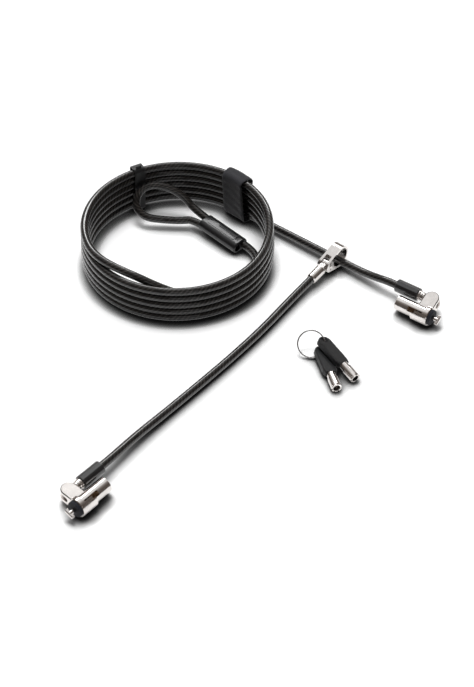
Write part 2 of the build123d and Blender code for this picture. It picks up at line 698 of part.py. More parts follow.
def build_cable_ferrule():
    """Grooved steel ferrule that holds the stud's head and the cable's end."""
    nose_end = -FERRULE_AT - FERRULE_NOSE
    head_room = (-STUD_HEAD_AT - STUD_HEAD_T - FACE_GAP, -STUD_HEAD_AT + FACE_GAP)
    with BuildPart() as ferrule:
        turned(HEAD, -FERRULE_END, nose_end - FERRULE_GROOVE, FERRULE_R)
        turned(HEAD, nose_end - FERRULE_GROOVE, nose_end, FERRULE_GROOVE_R)
        turned(HEAD, nose_end, -FERRULE_AT, FERRULE_NOSE_R)
        turned(HEAD, -STUD_HEAD_AT, -FERRULE_AT, STUD_R + RUN_FIT, mode=Mode.SUBTRACT)
        turned(HEAD, *head_room, STUD_HEAD_R + RUN_FIT, mode=Mode.SUBTRACT)
        turned(HEAD, -FERRULE_END, -CABLE_STOP, CABLE_R + CABLE_CLEAR, mode=Mode.SUBTRACT)
    return ferrule


def build_cable_sleeve():
    """Moulded sleeve over the ferrule, with a flat panel above and below."""
    with BuildPart() as sleeve:
        with BuildSketch(station(HEAD, -SLEEVE_END)) as section:
            Circle(SLEEVE_R)
            Rectangle(2 * SLEEVE_R, 2 * SLEEVE_FLAT, mode=Mode.INTERSECT)
        extrude(section.sketch, amount=SLEEVE_END - SLEEVE_AT)
        ends = faces().sort_by(Axis.X)
        fillet(ends[0].edges() + ends[-1].edges(), SLEEVE_FILLET)
        turned(HEAD, -SLEEVE_END, -SLEEVE_AT, CABLE_R + CABLE_CLEAR, mode=Mode.SUBTRACT)
        turned(HEAD, -FERRULE_END, -SLEEVE_AT, FERRULE_R + SEAT_GAP, mode=Mode.SUBTRACT)
    return sleeve


def lock_plane(pivot, angle, roll, flipped):
    """Frame of a lock that lies with its housing's ring on the surface."""
    height = HOUSING_R + LUG_OFFSET * math.sin(math.radians(roll))
    return laid_frame((*pivot, height), angle, roll, flipped=flipped)


lock_a = lock_plane(LOCK_A_PIVOT, LOCK_A_HEADING, LOCK_A_ROLL, False)
lock_b = lock_plane(LOCK_B_PIVOT, LOCK_B_HEADING, LOCK_B_ROLL, True)
for letter, frame, pin_side in (("a", lock_a, -1), ("b", lock_b, 1)):
    save(build_housing(pin_side), f"lock_{letter}_housing", frame)
    save(build_pivot_pin(pin_side), f"lock_{letter}_pivot_pin", frame)
    save(build_barrel(), f"lock_{letter}_barrel", frame)
    save(build_cylinder(), f"lock_{letter}_cylinder", frame)
    save(build_plug(), f"lock_{letter}_plug", frame)
    save(build_key_pins(), f"lock_{letter}_key_pins", frame)
    save(build_driver_pins(), f"lock_{letter}_driver_pins", frame)
    save(build_pin_springs(), f"lock_{letter}_pin_springs", frame)
    save(build_clip(), f"lock_{letter}_retaining_clip", frame)
    save(build_t_bar(-pin_side * CROSSBAR_LEAN), f"lock_{letter}_t_bar", frame)
    save(build_bumper(), f"lock_{letter}_bumper", frame)
    save(build_cable_eye(), f"cable_{letter}_eye", frame)
    save(build_cable_ferrule(), f"cable_{letter}_ferrule", frame)
    save(build_cable_sleeve(), f"cable_{letter}_sleeve", frame)

# ---- ring that slides on the long cable --------------------------------------------------------
along_cable = heading(RING_LINE_HEADING)
across_cable = heading(RING_LINE_HEADING + 90)
ring_on_cable = Vector(*RING_LINE_START) + along_cable * RING_AT
pin_centre = ring_on_cable - across_cable * RING_CABLE_OFFSET
pin_centre = Vector(pin_centre.X, pin_centre.Y, RING_PIN_HEIGHT)
ring_slope = math.degrees(math.asin((SHACKLE_FAR_R - RING_PIN_HEIGHT) / SHACKLE_FAR_AT))
ring = Plane(
    origin=pin_centre,
    x_dir=heading(RING_LINE_HEADING + 90, ring_slope),
    z_dir=along_cable,
)
hollow_r = SHACKLE_EYE_R - SHACKLE_T
hollow_r += (SHACKLE_FAR_R - SHACKLE_EYE_R) * SHACKLE_HOLLOW_AT / SHACKLE_FAR_AT
with BuildPart() as shackle:
    with BuildSketch(ring.offset(-SHACKLE_WIDTH / 2)):
        Circle(SHACKLE_EYE_R)
        with Locations((SHACKLE_FAR_AT, 0)):
            Circle(SHACKLE_FAR_R)
        make_hull()
    extrude(amount=SHACKLE_WIDTH)
    with BuildSketch(ring.offset(-SHACKLE_WIDTH / 2)):
        with Locations((SHACKLE_HOLLOW_AT, 0)):
            Circle(hollow_r)
        with Locations((SHACKLE_FAR_AT, 0)):
            Circle(SHACKLE_FAR_R - SHACKLE_T)
        make_hull()
    extrude(amount=SHACKLE_WIDTH, mode=Mode.SUBTRACT)
    ring_plan = Plane(origin=ring.origin, x_dir=ring.x_dir, z_dir=ring.y_dir)
    with BuildSketch(ring_plan):
        near = (-SHACKLE_EYE_R, SHACKLE_WIDTH / 2)
        far = (SHACKLE_FAR_AT + SHACKLE_FAR_R, SHACKLE_WIDTH / 2 - SHACKLE_TAPER)
        Polygon(near, far, (far[0], -far[1]), (near[0], -near[1]), align=None)
    extrude(amount=SHACKLE_FAR_R + 1, both=True, mode=Mode.INTERSECT)
    with BuildSketch(ring_plan):
        with Locations((KNUCKLE_SLOT_TO, 0)):
            Rectangle(
                3 * SHACKLE_EYE_R,
                KNUCKLE_T + 2 * KNUCKLE_CLEAR,
                align=(Align.MAX, Align.CENTER),
            )
    extrude(amount=SHACKLE_FAR_R, both=True, mode=Mode.SUBTRACT)
    for ear in (1, -1):
        with BuildSketch(ring.offset(ear * (SHACKLE_WIDTH / 2 - STAKE_DEPTH))):
            with Locations((0, STAKE_AT), (0, -STAKE_AT)):
                SlotOverall(STAKE_LENGTH, STAKE_WIDTH)
        extrude(amount=ear * 2 * STAKE_DEPTH, mode=Mode.SUBTRACT)
    with BuildSketch(ring.offset(-SHACKLE_WIDTH)):
        Circle(RING_PIN_R)
    extrude(amount=2 * SHACKLE_WIDTH, mode=Mode.SUBTRACT)
save(shackle, "ring_shackle")

pin_half = SHACKLE_WIDTH / 2 + RING_PIN_PROUD
with BuildPart() as ring_pin:
    with BuildSketch(ring.offset(-pin_half)):
        Circle(RING_PIN_R)
    extrude(amount=2 * pin_half)
    chamfer(ring_pin.edges().filter_by(GeomType.CIRCLE), RING_PIN_PROUD)
save(ring_pin, "ring_pin")

crimp = Plane(
    origin=pin_centre,
    x_dir=heading(RING_LINE_HEADING - 90, -CRIMP_SLOPE),
    z_dir=along_cable,
)
with BuildPart() as ring_ferrule:
    turned(crimp, CRIMP_AT, CRIMP_END, CRIMP_R)
    chamfer(ring_ferrule.edges().filter_by(GeomType.CIRCLE), CRIMP_CHAMFER)
    with BuildSketch(crimp.offset(-KNUCKLE_T / 2)):
        Circle(KNUCKLE_R)
        Rectangle(CRIMP_AT + 1, KNUCKLE_NECK, align=(Align.MIN, Align.CENTER))
        Circle(RING_PIN_R + RUN_FIT, mode=Mode.SUBTRACT)
    extrude(amount=KNUCKLE_T)
    turned(crimp, CRIMP_BORE, CRIMP_END, CABLE_R + CABLE_CLEAR, mode=Mode.SUBTRACT)
save(ring_ferrule, "ring_ferrule")

# ---- anchor loop -------------------------------------------------------------------------------
loop_plane = Plane(
    origin=LOOP_SLEEVE_START,
    x_dir=heading(LOOP_SLEEVE_HEADING + 90),
    z_dir=heading(LOOP_SLEEVE_HEADING, LOOP_SLEEVE_SLOPE),
)
leg_bore = CABLE_R + CABLE_CLEAR
ferrule_length = LOOP_SLEEVE_LENGTH - 2 * LOOP_FERRULE_INSET
ferrule_width = LOOP_SPACING + 2 * (leg_bore + LOOP_FERRULE_WALL)
ferrule_height = 2 * (leg_bore + LOOP_FERRULE_WALL)
with BuildPart() as loop_sleeve:
    with BuildSketch(loop_plane):
        SlotOverall(LOOP_SPACING + 2 * (leg_bore + LOOP_SLEEVE_WALL), LOOP_SLEEVE_HEIGHT)
    extrude(amount=LOOP_SLEEVE_LENGTH)
    sleeve_ends = loop_sleeve.faces().sort_by(Axis(loop_plane.origin, loop_plane.z_dir))
    fillet(sleeve_ends[0].edges() + sleeve_ends[-1].edges(), LOOP_SLEEVE_FILLET)
    with BuildSketch(loop_plane.offset((LOOP_SLEEVE_LENGTH - LOOP_PANEL_LENGTH) / 2)):
        with Locations((0, LOOP_SLEEVE_HEIGHT / 2)):
            Rectangle(LOOP_PANEL_WIDTH, 2 * LOOP_PANEL_T)
    extrude(amount=LOOP_PANEL_LENGTH)
    with BuildSketch(loop_plane):
        with GridLocations(LOOP_SPACING, 0, 2, 1):
            Circle(leg_bore)
    extrude(amount=LOOP_SLEEVE_LENGTH, mode=Mode.SUBTRACT)
    with BuildSketch(loop_plane.offset(LOOP_FERRULE_INSET)):
        SlotOverall(ferrule_width + 2 * SEAT_GAP, ferrule_height + 2 * SEAT_GAP)
    extrude(amount=ferrule_length, mode=Mode.SUBTRACT)
save(loop_sleeve, "loop_sleeve")

with BuildPart() as loop_ferrule:
    with BuildSketch(loop_plane.offset(LOOP_FERRULE_INSET)):
        SlotOverall(ferrule_width, ferrule_height)
        with GridLocations(LOOP_SPACING, 0, 2, 1):
            Circle(leg_bore, mode=Mode.SUBTRACT)
    extrude(amount=ferrule_length)
save(loop_ferrule, "loop_ferrule")


def leg_point(side, along):
    """Centre of a loop leg: side 1 is the near one; along is measured from the sleeve's start."""
    return tuple(loop_plane.from_local_coords(Vector(side * LOOP_SPACING / 2, 0, along)))


# ---- free stretches of cable -------------------------------------------------------------------
def beside(point, direction, reach):
    """Point a given reach from another along a direction."""
    return tuple(point + direction * reach)


stretch_start = coil_point(COIL_START)
ring_line_start = Vector(*RING_LINE_START)
STRETCH_ROUTE = [
    tuple(stretch_start),
    beside(stretch_start, coil_direction(COIL_START), -STRETCH_LEAD),
    (11.7, 148.2, 4.1),
    RING_LINE_START,
    beside(ring_line_start, along_cable, RING_LINE_LENGTH),
    (79.9, 90.5, 7.6),
    tuple(lock_a.from_local_coords(Vector(-SLEEVE_END - SLEEVE_LEAD, 0, 0))),
    tuple(lock_a.from_local_coords(Vector(-CABLE_STOP, 0, 0))),
]
coil_end = coil_point(COIL_END)
TAIL_ROUTE = [
    tuple(coil_end),
    beside(coil_end, coil_direction(COIL_END), TAIL_LEAD),
    (-2.9, 98.5, 2.9),
    (0.0, 107.8, 3.0),
    (-1.5, 117.3, 3.4),
    (-5.5, 124.3, 4.1),
    leg_point(-1, 1.0),
    leg_point(-1, LOOP_SLEEVE_LENGTH / 2),
]
LOOP_ROUTE = [
    leg_point(-1, LOOP_SLEEVE_LENGTH / 2),
    leg_point(-1, LOOP_SLEEVE_LENGTH + LOOP_LEAD_OUT),
    (-54.1, 168.1, 18.2),
    (-66.7, 170.9, 23.9),
    (-78.8, 170.3, 24.9),
    (-86.1, 165.5, 20.1),
    (-87.0, 159.4, 13.1),
    (-80.6, 154.5, 8.2),
    (-68.5, 153.6, 6.8),
    (-54.7, 152.7, 6.6),
    leg_point(1, LOOP_SLEEVE_LENGTH + LOOP_LEAD_BACK),
    leg_point(1, LOOP_RETURN_AT),
]
SHORT_ROUTE = [
    tuple(crimp.from_local_coords(Vector(CRIMP_BORE, 0, 0))),
    tuple(crimp.from_local_coords(Vector(CRIMP_END + CRIMP_LEAD, 0, 0))),
    (18.4, 68.9, 2.9),
    (1.3, 43.1, 2.75),
    (-18.4, 17.1, 2.75),
    (-38.9, -8.0, 2.75),
    (-60.7, -34.0, 2.75),
    (-78.5, -56.3, 4.6),
    tuple(lock_b.from_local_coords(Vector(-SLEEVE_END - SLEEVE_LEAD, 0, 0))),
    tuple(lock_b.from_local_coords(Vector(-CABLE_STOP, 0, 0))),
]
stretch_length = build_cord(STRETCH_ROUTE, "long_cable_stretch")
tail_length = build_cord(TAIL_ROUTE, "long_cable_tail")
loop_length = build_cord(LOOP_ROUTE, "anchor_loop")
short_length = build_cord(SHORT_ROUTE, "short_cable")
long_length = stretch_length + coil_length + tail_length + loop_length
print(f"long cable {long_length:.0f} mm, short cable {short_length:.0f} mm")

# ---- split ring --------------------------------------------------------------------------------
split_plane = laid_frame(SPLIT_RING_CENTRE, 0.0, SPLIT_RING_SLOPE)


def split_point(angle):
    """Centre of the split ring's wire at an angle along its two turns."""
    crossing = (angle - 360 + SPLIT_RING_CROSSING / 2) / SPLIT_RING_CROSSING
    side = SPLIT_RING_PITCH * (smooth(crossing) - 0.5)
    turn = math.radians(angle + 180)
    place = Vector(SPLIT_RING_R * math.cos(turn), SPLIT_RING_R * math.sin(turn), side)
    return split_plane.from_local_coords(place)


def split_direction(angle):
    """Unit tangent of the split ring's wire."""
    return (split_point(angle + 0.5) - split_point(angle - 0.5)).normalized()


with BuildPart() as split_ring:
    turns = [SPLIT_RING_OPENING, *range(60, 301, 60), 340, 360, 380, *range(420, 661, 60)]
    turns.append(720 - SPLIT_RING_OPENING)
    with BuildLine() as wire:
        for here, there in zip(turns, turns[1:]):
            biarc(split_point(here), split_direction(here), split_point(there), split_direction(there))
    with BuildSketch(Plane(origin=split_point(turns[0]), z_dir=split_direction(turns[0]))):
        Circle(SPLIT_RING_WIRE_R)
    sweep(path=wire.line, clean=False)
save(split_ring, "split_ring")


# ---- keys --------------------------------------------------------------------------------------
def ring_place(ring_angle):
    """Point midway between the split ring's two turns, and the wire's direction there."""
    turn = math.radians(ring_angle)
    out = split_plane.x_dir * math.cos(turn) + split_plane.y_dir * math.sin(turn)
    return split_plane.origin + out * SPLIT_RING_R, split_plane.z_dir.cross(out)


def build_key(frame, wire_direction, number):
    """Plastic bow and tubular steel barrel of one key."""
    bow_end = KEY_BOW_LENGTH - KEY_HOLE_AT
    half_width = KEY_BOW_WIDTH / 2
    half_t = KEY_BOW_T / 2
    with BuildPart() as bow:
        with BuildSketch(frame.offset(-half_t)) as outline:
            Circle(half_width)
            with BuildLine():
                Polyline(
                    (0, half_width),
                    (bow_end - KEY_SHOULDER_LENGTH, half_width),
                    (bow_end, half_width - KEY_SHOULDER / 2),
                    (bow_end, KEY_SHOULDER / 2 - half_width),
                    (bow_end - KEY_SHOULDER_LENGTH, -half_width),
                    (0, -half_width),
                    close=True,
                )
            make_face()
        extrude(outline.sketch, amount=KEY_BOW_T)
        flat_faces = faces().sort_by(Axis(frame.origin, frame.z_dir))
        chamfer(flat_faces[0].edges() + flat_faces[-1].edges(), KEY_BOW_FILLET)
        with BuildSketch(Plane(origin=frame.origin, z_dir=wire_direction)) as hole:
            Circle(KEY_HOLE_R)
        extrude(hole.sketch, amount=KEY_BOW_WIDTH, both=True, mode=Mode.SUBTRACT)
        turned(frame, bow_end - KEY_TANG, bow_end, KEY_TANG_R + SEAT_GAP, mode=Mode.SUBTRACT)
    save(bow, f"key_{number}_bow")
    tip = bow_end + KEY_BARREL_LENGTH
    with BuildPart() as barrel:
        turned(frame, bow_end - KEY_TANG, bow_end, KEY_TANG_R)
        turned(frame, bow_end, bow_end + KEY_NECK_LENGTH, KEY_NECK_R)
        turned(frame, bow_end + KEY_NECK_LENGTH, tip, KEY_R)
        turned(frame, tip - KEY_BORE_DEPTH, tip, KEY_BORE_R, mode=Mode.SUBTRACT)
        for index, depth in enumerate(KEY_CUTS):
            with BuildSketch(station(frame, tip - depth)) as cut:
                with PolarLocations(KEY_R - KEY_CUT_R / 2, 1, start_angle=360 * index / PIN_COUNT):
                    Circle(KEY_CUT_R)
            extrude(cut.sketch, amount=depth, mode=Mode.SUBTRACT)
        with BuildSketch(station(frame, bow_end + KEY_NECK_LENGTH)) as nib:
            with Locations((0, KEY_R)):
                Rectangle(KEY_NIB_WIDTH, 2 * KEY_NIB)
        extrude(nib.sketch, amount=KEY_NIB_WIDTH)
    save(barrel, f"key_{number}_barrel")


key_1_place, key_1_wire = ring_place(KEY_1_AT)
key_1 = laid_frame(key_1_place, KEY_1_HEADING, KEY_1_ROLL, KEY_1_SLOPE)
build_key(key_1, key_1_wire, 1)
key_2_place, key_2_wire = ring_place(KEY_2_AT)
key_2 = laid_frame(key_2_place, KEY_2_HEADING, KEY_2_ROLL, KEY_2_SLOPE)
build_key(key_2, key_2_wire, 2)
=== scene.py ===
"""Dressed model of a coiled cable lock set.

Long cable with its anchor loop, sliding ring with the short cable, two T-bar locks and keys.
"""

import math

import bmesh
import bpy
from bpy.props import FloatProperty, FloatVectorProperty, IntProperty, PointerProperty
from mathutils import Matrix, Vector


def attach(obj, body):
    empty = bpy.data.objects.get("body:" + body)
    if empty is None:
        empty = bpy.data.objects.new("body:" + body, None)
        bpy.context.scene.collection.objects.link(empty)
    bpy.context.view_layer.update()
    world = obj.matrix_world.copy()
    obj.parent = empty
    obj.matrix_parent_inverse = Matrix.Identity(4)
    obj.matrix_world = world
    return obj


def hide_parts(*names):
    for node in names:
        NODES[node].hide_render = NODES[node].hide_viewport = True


bl_info = {
    "name": "Cable Lock Set",
    "version": (1, 0, 0),
    "blender": (4, 5, 0),
    "location": "3D View > Sidebar > Cable Lock",
    "description": "Builds a dressed cable lock set on its packed model, piece by piece",
    "category": "Object",
}

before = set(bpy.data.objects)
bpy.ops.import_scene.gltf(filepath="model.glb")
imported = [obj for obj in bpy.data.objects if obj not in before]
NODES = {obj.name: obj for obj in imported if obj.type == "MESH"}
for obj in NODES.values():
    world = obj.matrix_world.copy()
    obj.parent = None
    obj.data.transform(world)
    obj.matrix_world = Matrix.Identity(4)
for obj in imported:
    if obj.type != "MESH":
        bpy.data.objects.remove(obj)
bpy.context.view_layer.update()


# ---- sizes and colours ---------------------------------------------------------------------------
def length(name, description, default, highest=0.5):
    """A property in metres."""
    return FloatProperty(
        name=name, description=description, default=default, min=0.0, max=highest, unit="LENGTH"
    )


def colour(name, description, default):
    """A property that holds a linear colour."""
    return FloatVectorProperty(
        name=name, description=description, default=default, min=0.0, max=1.0, subtype="COLOR"
    )


def share(name, description, default, highest=1.0):
    """A property without a unit."""
    return FloatProperty(name=name, description=description, default=default, min=0.0, max=highest)


class CableSettings(bpy.types.PropertyGroup):
    """Jacketed steel cable."""

    diameter: length("Diameter", "Outside diameter of the jacket", 0.0055)
    strands: IntProperty(
        name="Strands",
        description="Outer strands seen through the jacket",
        default=6,
        min=3,
        max=12,
    )
    lay: length("Lay", "Length in which a strand goes once round", 0.019)
    jacket: colour("Jacket", "Smoky vinyl between the strands", (0.0035, 0.0033, 0.0033))
    # the strands' crowns take this colour: steel seen through the vinyl, and a painted glint
    steel: colour("Steel", "Strands seen through the vinyl", (0.045, 0.040, 0.036))


class StrapSettings(bpy.types.PropertyGroup):
    """Hook-and-loop strap."""

    angle: FloatProperty(
        name="Angle",
        description="Place of the strap round the coil",
        default=math.radians(48),
        subtype="ANGLE",
    )
    width: length("Width", "Width of the strap", 0.0198)
    thickness: length("Thickness", "Thickness of the strap", 0.0010)
    thread: length("Thread", "Distance between two threads of the weave", 0.0006)
    fabric: colour("Fabric", "Woven face of the strap", (0.013, 0.013, 0.015))


class MetalSettings(bpy.types.PropertyGroup):
    """Plated and machined metal."""

    nickel: colour("Nickel", "Satin plating on the castings", (0.76, 0.725, 0.70))
    chrome: colour("Chrome", "Bright plating on the turned parts", (0.74, 0.71, 0.69))
    # far darker than bare brass: real brass tint with painted shade, for the cylinder in the
    # housing's dark opening
    brass: colour("Brass", "Lock cylinder and plug", (0.20, 0.13, 0.08))
    satin: share("Satin", "Roughness of the castings", 0.17)
    polish: share("Polish", "Roughness of the bright parts", 0.15)


class PlasticSettings(bpy.types.PropertyGroup):
    """Sleeves, bumpers, tie and key bows."""

    sleeve: colour("Sleeve", "Moulded sleeves on the cable ends", (0.006, 0.006, 0.0065))
    bow: colour("Key bow", "Moulded plastic of the keys", (0.011, 0.011, 0.0115))
    rubber: colour("Bumper", "Rubber washer in front of each lock", (0.010, 0.011, 0.015))
    grain: length("Grain", "Size of the moulded grain", 0.0007)


class StageSettings(bpy.types.PropertyGroup):
    """Floor, lamps and camera."""

    floor: share("Floor", "Lightness of the floor", 0.80)
    lift: share("Lift", "Light that the floor gives off by itself where it is seen", 0.30)
    ambient: share("Ambient", "Even light from all round", 0.03)
    # reach of the painted contact shadow on the floor
    contact: length("Contact", "Reach of the dark rim below whatever lies on the floor", 0.0105)
    top_power: share("Top", "Power of the lamp overhead in watts", 235.0, 1000.0)
    back_power: share("Back", "Power of the lamp behind in watts", 90.0, 1000.0)
    front_power: share("Front", "Power of the lamp in front in watts", 10.0, 1000.0)
    lens: FloatProperty(
        name="Lens", description="Focal length in millimetres", default=92.5, min=10
    )


def settings(name):
    """One of this add-on's property groups in the scene."""
    return getattr(bpy.context.scene, f"cable_lock_{name}")


# ---- shader groups -------------------------------------------------------------------------------
class NodeTree:
    """Short way to add nodes to a tree and to join them."""

    def __init__(self, tree):
        self.tree = tree
        self.nodes = tree.nodes

    def link(self, source, target):
        """Join an output socket to an input socket."""
        self.tree.links.new(source, target)

    def node(self, kind, **values):
        """New node; values are its attributes."""
        made = self.nodes.new(kind)
        for key, value in values.items():
            setattr(made, key, value)
        return made

    def feed(self, socket, value):
        """Link a socket, or set a plain number on it."""
        if isinstance(value, bpy.types.NodeSocket):
            self.link(value, socket)
        else:
            socket.default_value = value

    def math(self, operation, first, second=0.0):
        """Math node on sockets or numbers."""
        made = self.node("ShaderNodeMath", operation=operation)
        self.feed(made.inputs[0], first)
        self.feed(made.inputs[1], second)
        return made.outputs[0]


class Group(NodeTree):
    """One shader node group, with its named inputs and outputs."""

    def __init__(self, name, inputs, outputs):
        super().__init__(bpy.data.node_groups.new(name, "ShaderNodeTree"))
        for label, kind, default in inputs:
            socket = self.tree.interface.new_socket(label, in_out="INPUT", socket_type=kind)
            if default is not None:
                socket.default_value = default
        for label in outputs:
            self.tree.interface.new_socket(label, in_out="OUTPUT", socket_type="NodeSocketFloat")
        self.given = self.nodes.new("NodeGroupInput").outputs
        self.result = self.nodes.new("NodeGroupOutput").inputs

    def noise(self, vector, scale, detail=3.0, roughness=0.55):
        """Noise texture's value."""
        made = self.node("ShaderNodeTexNoise")
        self.feed(made.inputs["Vector"], vector)
        self.feed(made.inputs["Scale"], scale)
        made.inputs["Detail"].default_value = detail
        made.inputs["Roughness"].default_value = roughness
        return made.outputs["Fac"]

    def spread(self, value, low, high):
        """Value stretched so that low to high becomes 0 to 1."""
        made = self.node("ShaderNodeMapRange")
        self.feed(made.inputs["Value"], value)
        made.inputs["From Min"].default_value = low
        made.inputs["From Max"].default_value = high
        return made.outputs["Result"]


def twisted_strands():
    """Strands of a steel cable under its jacket, from a map with one unit round the cable."""
    group = Group(
        "Twisted Strands",
        [
            ("Vector", "NodeSocketVector", None),
            ("Strands", "NodeSocketFloat", 6.0),
            ("Turns", "NodeSocketFloat", 1.0),
        ],
        ["Strand", "Glint"],
    )
    parts = group.node("ShaderNodeSeparateXYZ")
    group.link(group.given["Vector"], parts.inputs[0])
    lean = group.math("MULTIPLY", parts.outputs["Y"], group.given["Turns"])
    angle = group.math("ADD", parts.outputs["X"], lean)
    phase = group.math("MULTIPLY", group.math("MULTIPLY", angle, group.given["Strands"]), math.pi)
    strand = group.math("ABSOLUTE", group.math("SINE", phase))
    # the glint: a painted highlight along each strand's crown, varied at random
    crown = group.math("POWER", strand, 5.0)
    uneven = group.spread(group.noise(group.given["Vector"], scale=3.0), low=0.3, high=0.6)
    group.link(strand, group.result["Strand"])
    group.link(group.math("MULTIPLY", crown, uneven), group.result["Glint"])
    return group.tree


def handling_marks():
    """Soft smudges of metal that was handled, and the fine relief of its rub marks."""
    group = Group(
        "Handling Marks",
        [("Scale", "NodeSocketFloat", 120.0), ("Stretch", "NodeSocketFloat", 14.0)],
        ["Smudge", "Height"],
    )
    place = group.node("ShaderNodeTexCoord").outputs["Object"]
    cloud = group.noise(place, group.given["Scale"], detail=4.0)
    smudge = group.spread(cloud, low=0.36, high=0.66)
    drawn = group.node("ShaderNodeVectorMath", operation="MULTIPLY")
    group.link(place, drawn.inputs[0])
    across = group.node("ShaderNodeCombineXYZ")
    across.inputs["X"].default_value = 1.0
    group.link(group.given["Stretch"], across.inputs["Y"])
    group.link(group.given["Stretch"], across.inputs["Z"])
    group.link(across.outputs[0], drawn.inputs[1])
    fine = group.noise(drawn.outputs[0], group.given["Scale"], detail=2.0, roughness=0.7)
    group.link(smudge, group.result["Smudge"])
    group.link(fine, group.result["Height"])
    return group.tree


def moulded_grain():
    """Small leathery grain of moulded plastic and rubber."""
    group = Group(
        "Moulded Grain",
        [("Size", "NodeSocketFloat", 0.0007)],
        ["Grain", "Cloud"],
    )
    place = group.node("ShaderNodeTexCoord").outputs["Object"]
    scale = group.math("DIVIDE", 1.0, group.given["Size"])
    cells = group.node("ShaderNodeTexVoronoi", feature="SMOOTH_F1")
    group.link(place, cells.inputs["Vector"])
    group.link(scale, cells.inputs["Scale"])
    group.link(cells.outputs["Distance"], group.result["Grain"])
    coarse = group.math("MULTIPLY", scale, 0.12)
    group.link(group.noise(place, coarse), group.result["Cloud"])
    return group.tree


def tape_weave():
    """Plain weave of narrow tape with a little loose fibre, from a map in metres."""
    group = Group(
        "Tape Weave",
        [("Vector", "NodeSocketVector", None), ("Thread", "NodeSocketFloat", 0.0006)],
        ["Thread Top", "Fibre", "Height"],
    )
    parts = group.node("ShaderNodeSeparateXYZ")
    group.link(group.given["Vector"], parts.inputs[0])
    pitch = group.math("DIVIDE", math.pi, group.given["Thread"])
    over = group.math("SINE", group.math("MULTIPLY", parts.outputs["X"], pitch))
    along = group.math("SINE", group.math("MULTIPLY", parts.outputs["Y"], pitch))
    checks = group.math("MULTIPLY", over, along)
    top = group.math("ADD", group.math("MULTIPLY", checks, 0.5), 0.5)
    fibre = group.noise(group.given["Vector"], scale=2600.0, detail=4.0, roughness=0.75)
    group.link(top, group.result["Thread Top"])
    group.link(group.spread(fibre, low=0.35, high=0.7), group.result["Fibre"])
    height = group.math("ADD", group.math("MULTIPLY", top, 0.6), group.math("MULTIPLY", fibre, 0.6))
    group.link(height, group.result["Height"])
    return group.tree


GROUPS = {
    "Twisted Strands": twisted_strands,
    "Handling Marks": handling_marks,
    "Moulded Grain": moulded_grain,
    "Tape Weave": tape_weave,
}


# ---- materials -----------------------------------------------------------------------------------
PAINTED_ROUNDING_REFLECTION = (0.03, 0.027, 0.026)  # painted reflection: the dark colour that the small roundings of bright metal would mirror


class Surface(NodeTree):
    """One material: its Principled shader and the nodes that feed it."""

    def __init__(self, name, **fixed):
        self.material = bpy.data.materials.new(name)
        self.material.use_nodes = True
        super().__init__(self.material.node_tree)
        self.shader = self.nodes["Principled BSDF"]
        for label, value in fixed.items():
            self.shader.inputs[label.replace("_", " ")].default_value = value

    def group(self, name, vector=None, **values):
        """Place a shared effect with this material's own values."""
        tree = bpy.data.node_groups.get(name) or GROUPS[name]()
        made = self.node("ShaderNodeGroup", node_tree=tree)
        for label, value in values.items():
            made.inputs[label].default_value = value
        if vector is not None:
            self.link(vector, made.inputs["Vector"])
        return made.outputs

    def map(self, name):
        """Coordinates from a piece's own map."""
        return self.node("ShaderNodeUVMap", uv_map=name).outputs["UV"]

    def mix(self, kind, factor):
        """Mix node fed by a factor: its two ends and its result."""
        made = self.node("ShaderNodeMix", data_type=kind)
        weight, *ends = [socket for socket in made.inputs if socket.enabled]
        self.link(factor, weight)
        return ends, next(socket for socket in made.outputs if socket.enabled)

    def blend(self, socket, mask, dark, light):
        """Feed the shader with a colour or value between two ends, by a mask."""
        coloured = isinstance(dark, tuple)
        ends, result = self.mix("RGBA" if coloured else "FLOAT", mask)
        for end, value in zip(ends, (dark, light)):
            end.default_value = (*value, 1.0) if coloured else value
        self.link(result, self.shader.inputs[socket])

    def paint_roundings_reflection(self, amount, tint=PAINTED_ROUNDING_REFLECTION):
        """Blend what feeds the base colour to another one on the piece's small roundings, as a
        painted reflection there.
        """
        edge = self.node("ShaderNodeAttribute", attribute_name="Rounding")
        ends, result = self.mix("RGBA", self.math("MULTIPLY", edge.outputs["Fac"], amount))
        base = self.shader.inputs["Base Color"]
        self.link(base.links[0].from_socket, ends[0])
        ends[1].default_value = (*tint, 1.0)
        self.link(result, base)

    def bump(self, height, strength, distance):
        """Fine relief on the surface."""
        made = self.node("ShaderNodeBump")
        made.inputs["Strength"].default_value = strength
        made.inputs["Distance"].default_value = distance
        self.link(height, made.inputs["Height"])
        self.link(made.outputs["Normal"], self.shader.inputs["Normal"])


JACKET = "Smoky vinyl over strands"


def cable_jacket(cable):
    """Clear smoky vinyl over twisted strands: the strands lie under a smooth coat."""
    surface = Surface(JACKET, Specular_IOR_Level=0.15, Coat_Weight=0.9, Coat_Roughness=0.04)
    turns = math.pi * cable.diameter / cable.lay
    effect = surface.group(
        "Twisted Strands", surface.map("Jacket"), Strands=float(cable.strands), Turns=turns
    )
    # the crowns turn to the steel colour: steel under the vinyl, partly a painted glint
    surface.blend("Base Color", effect["Glint"], tuple(cable.jacket), tuple(cable.steel))
    surface.blend("Roughness", effect["Strand"], 0.5, 0.3)
    surface.bump(effect["Strand"], strength=0.6, distance=0.0003)
    return surface.material


SMUDGE_TONE = 0.86                 # brightness of metal below a smudge
SMUDGE_ROUGHNESS = (0.75, 1.35)    # roughness of clean and of smudged metal, as shares


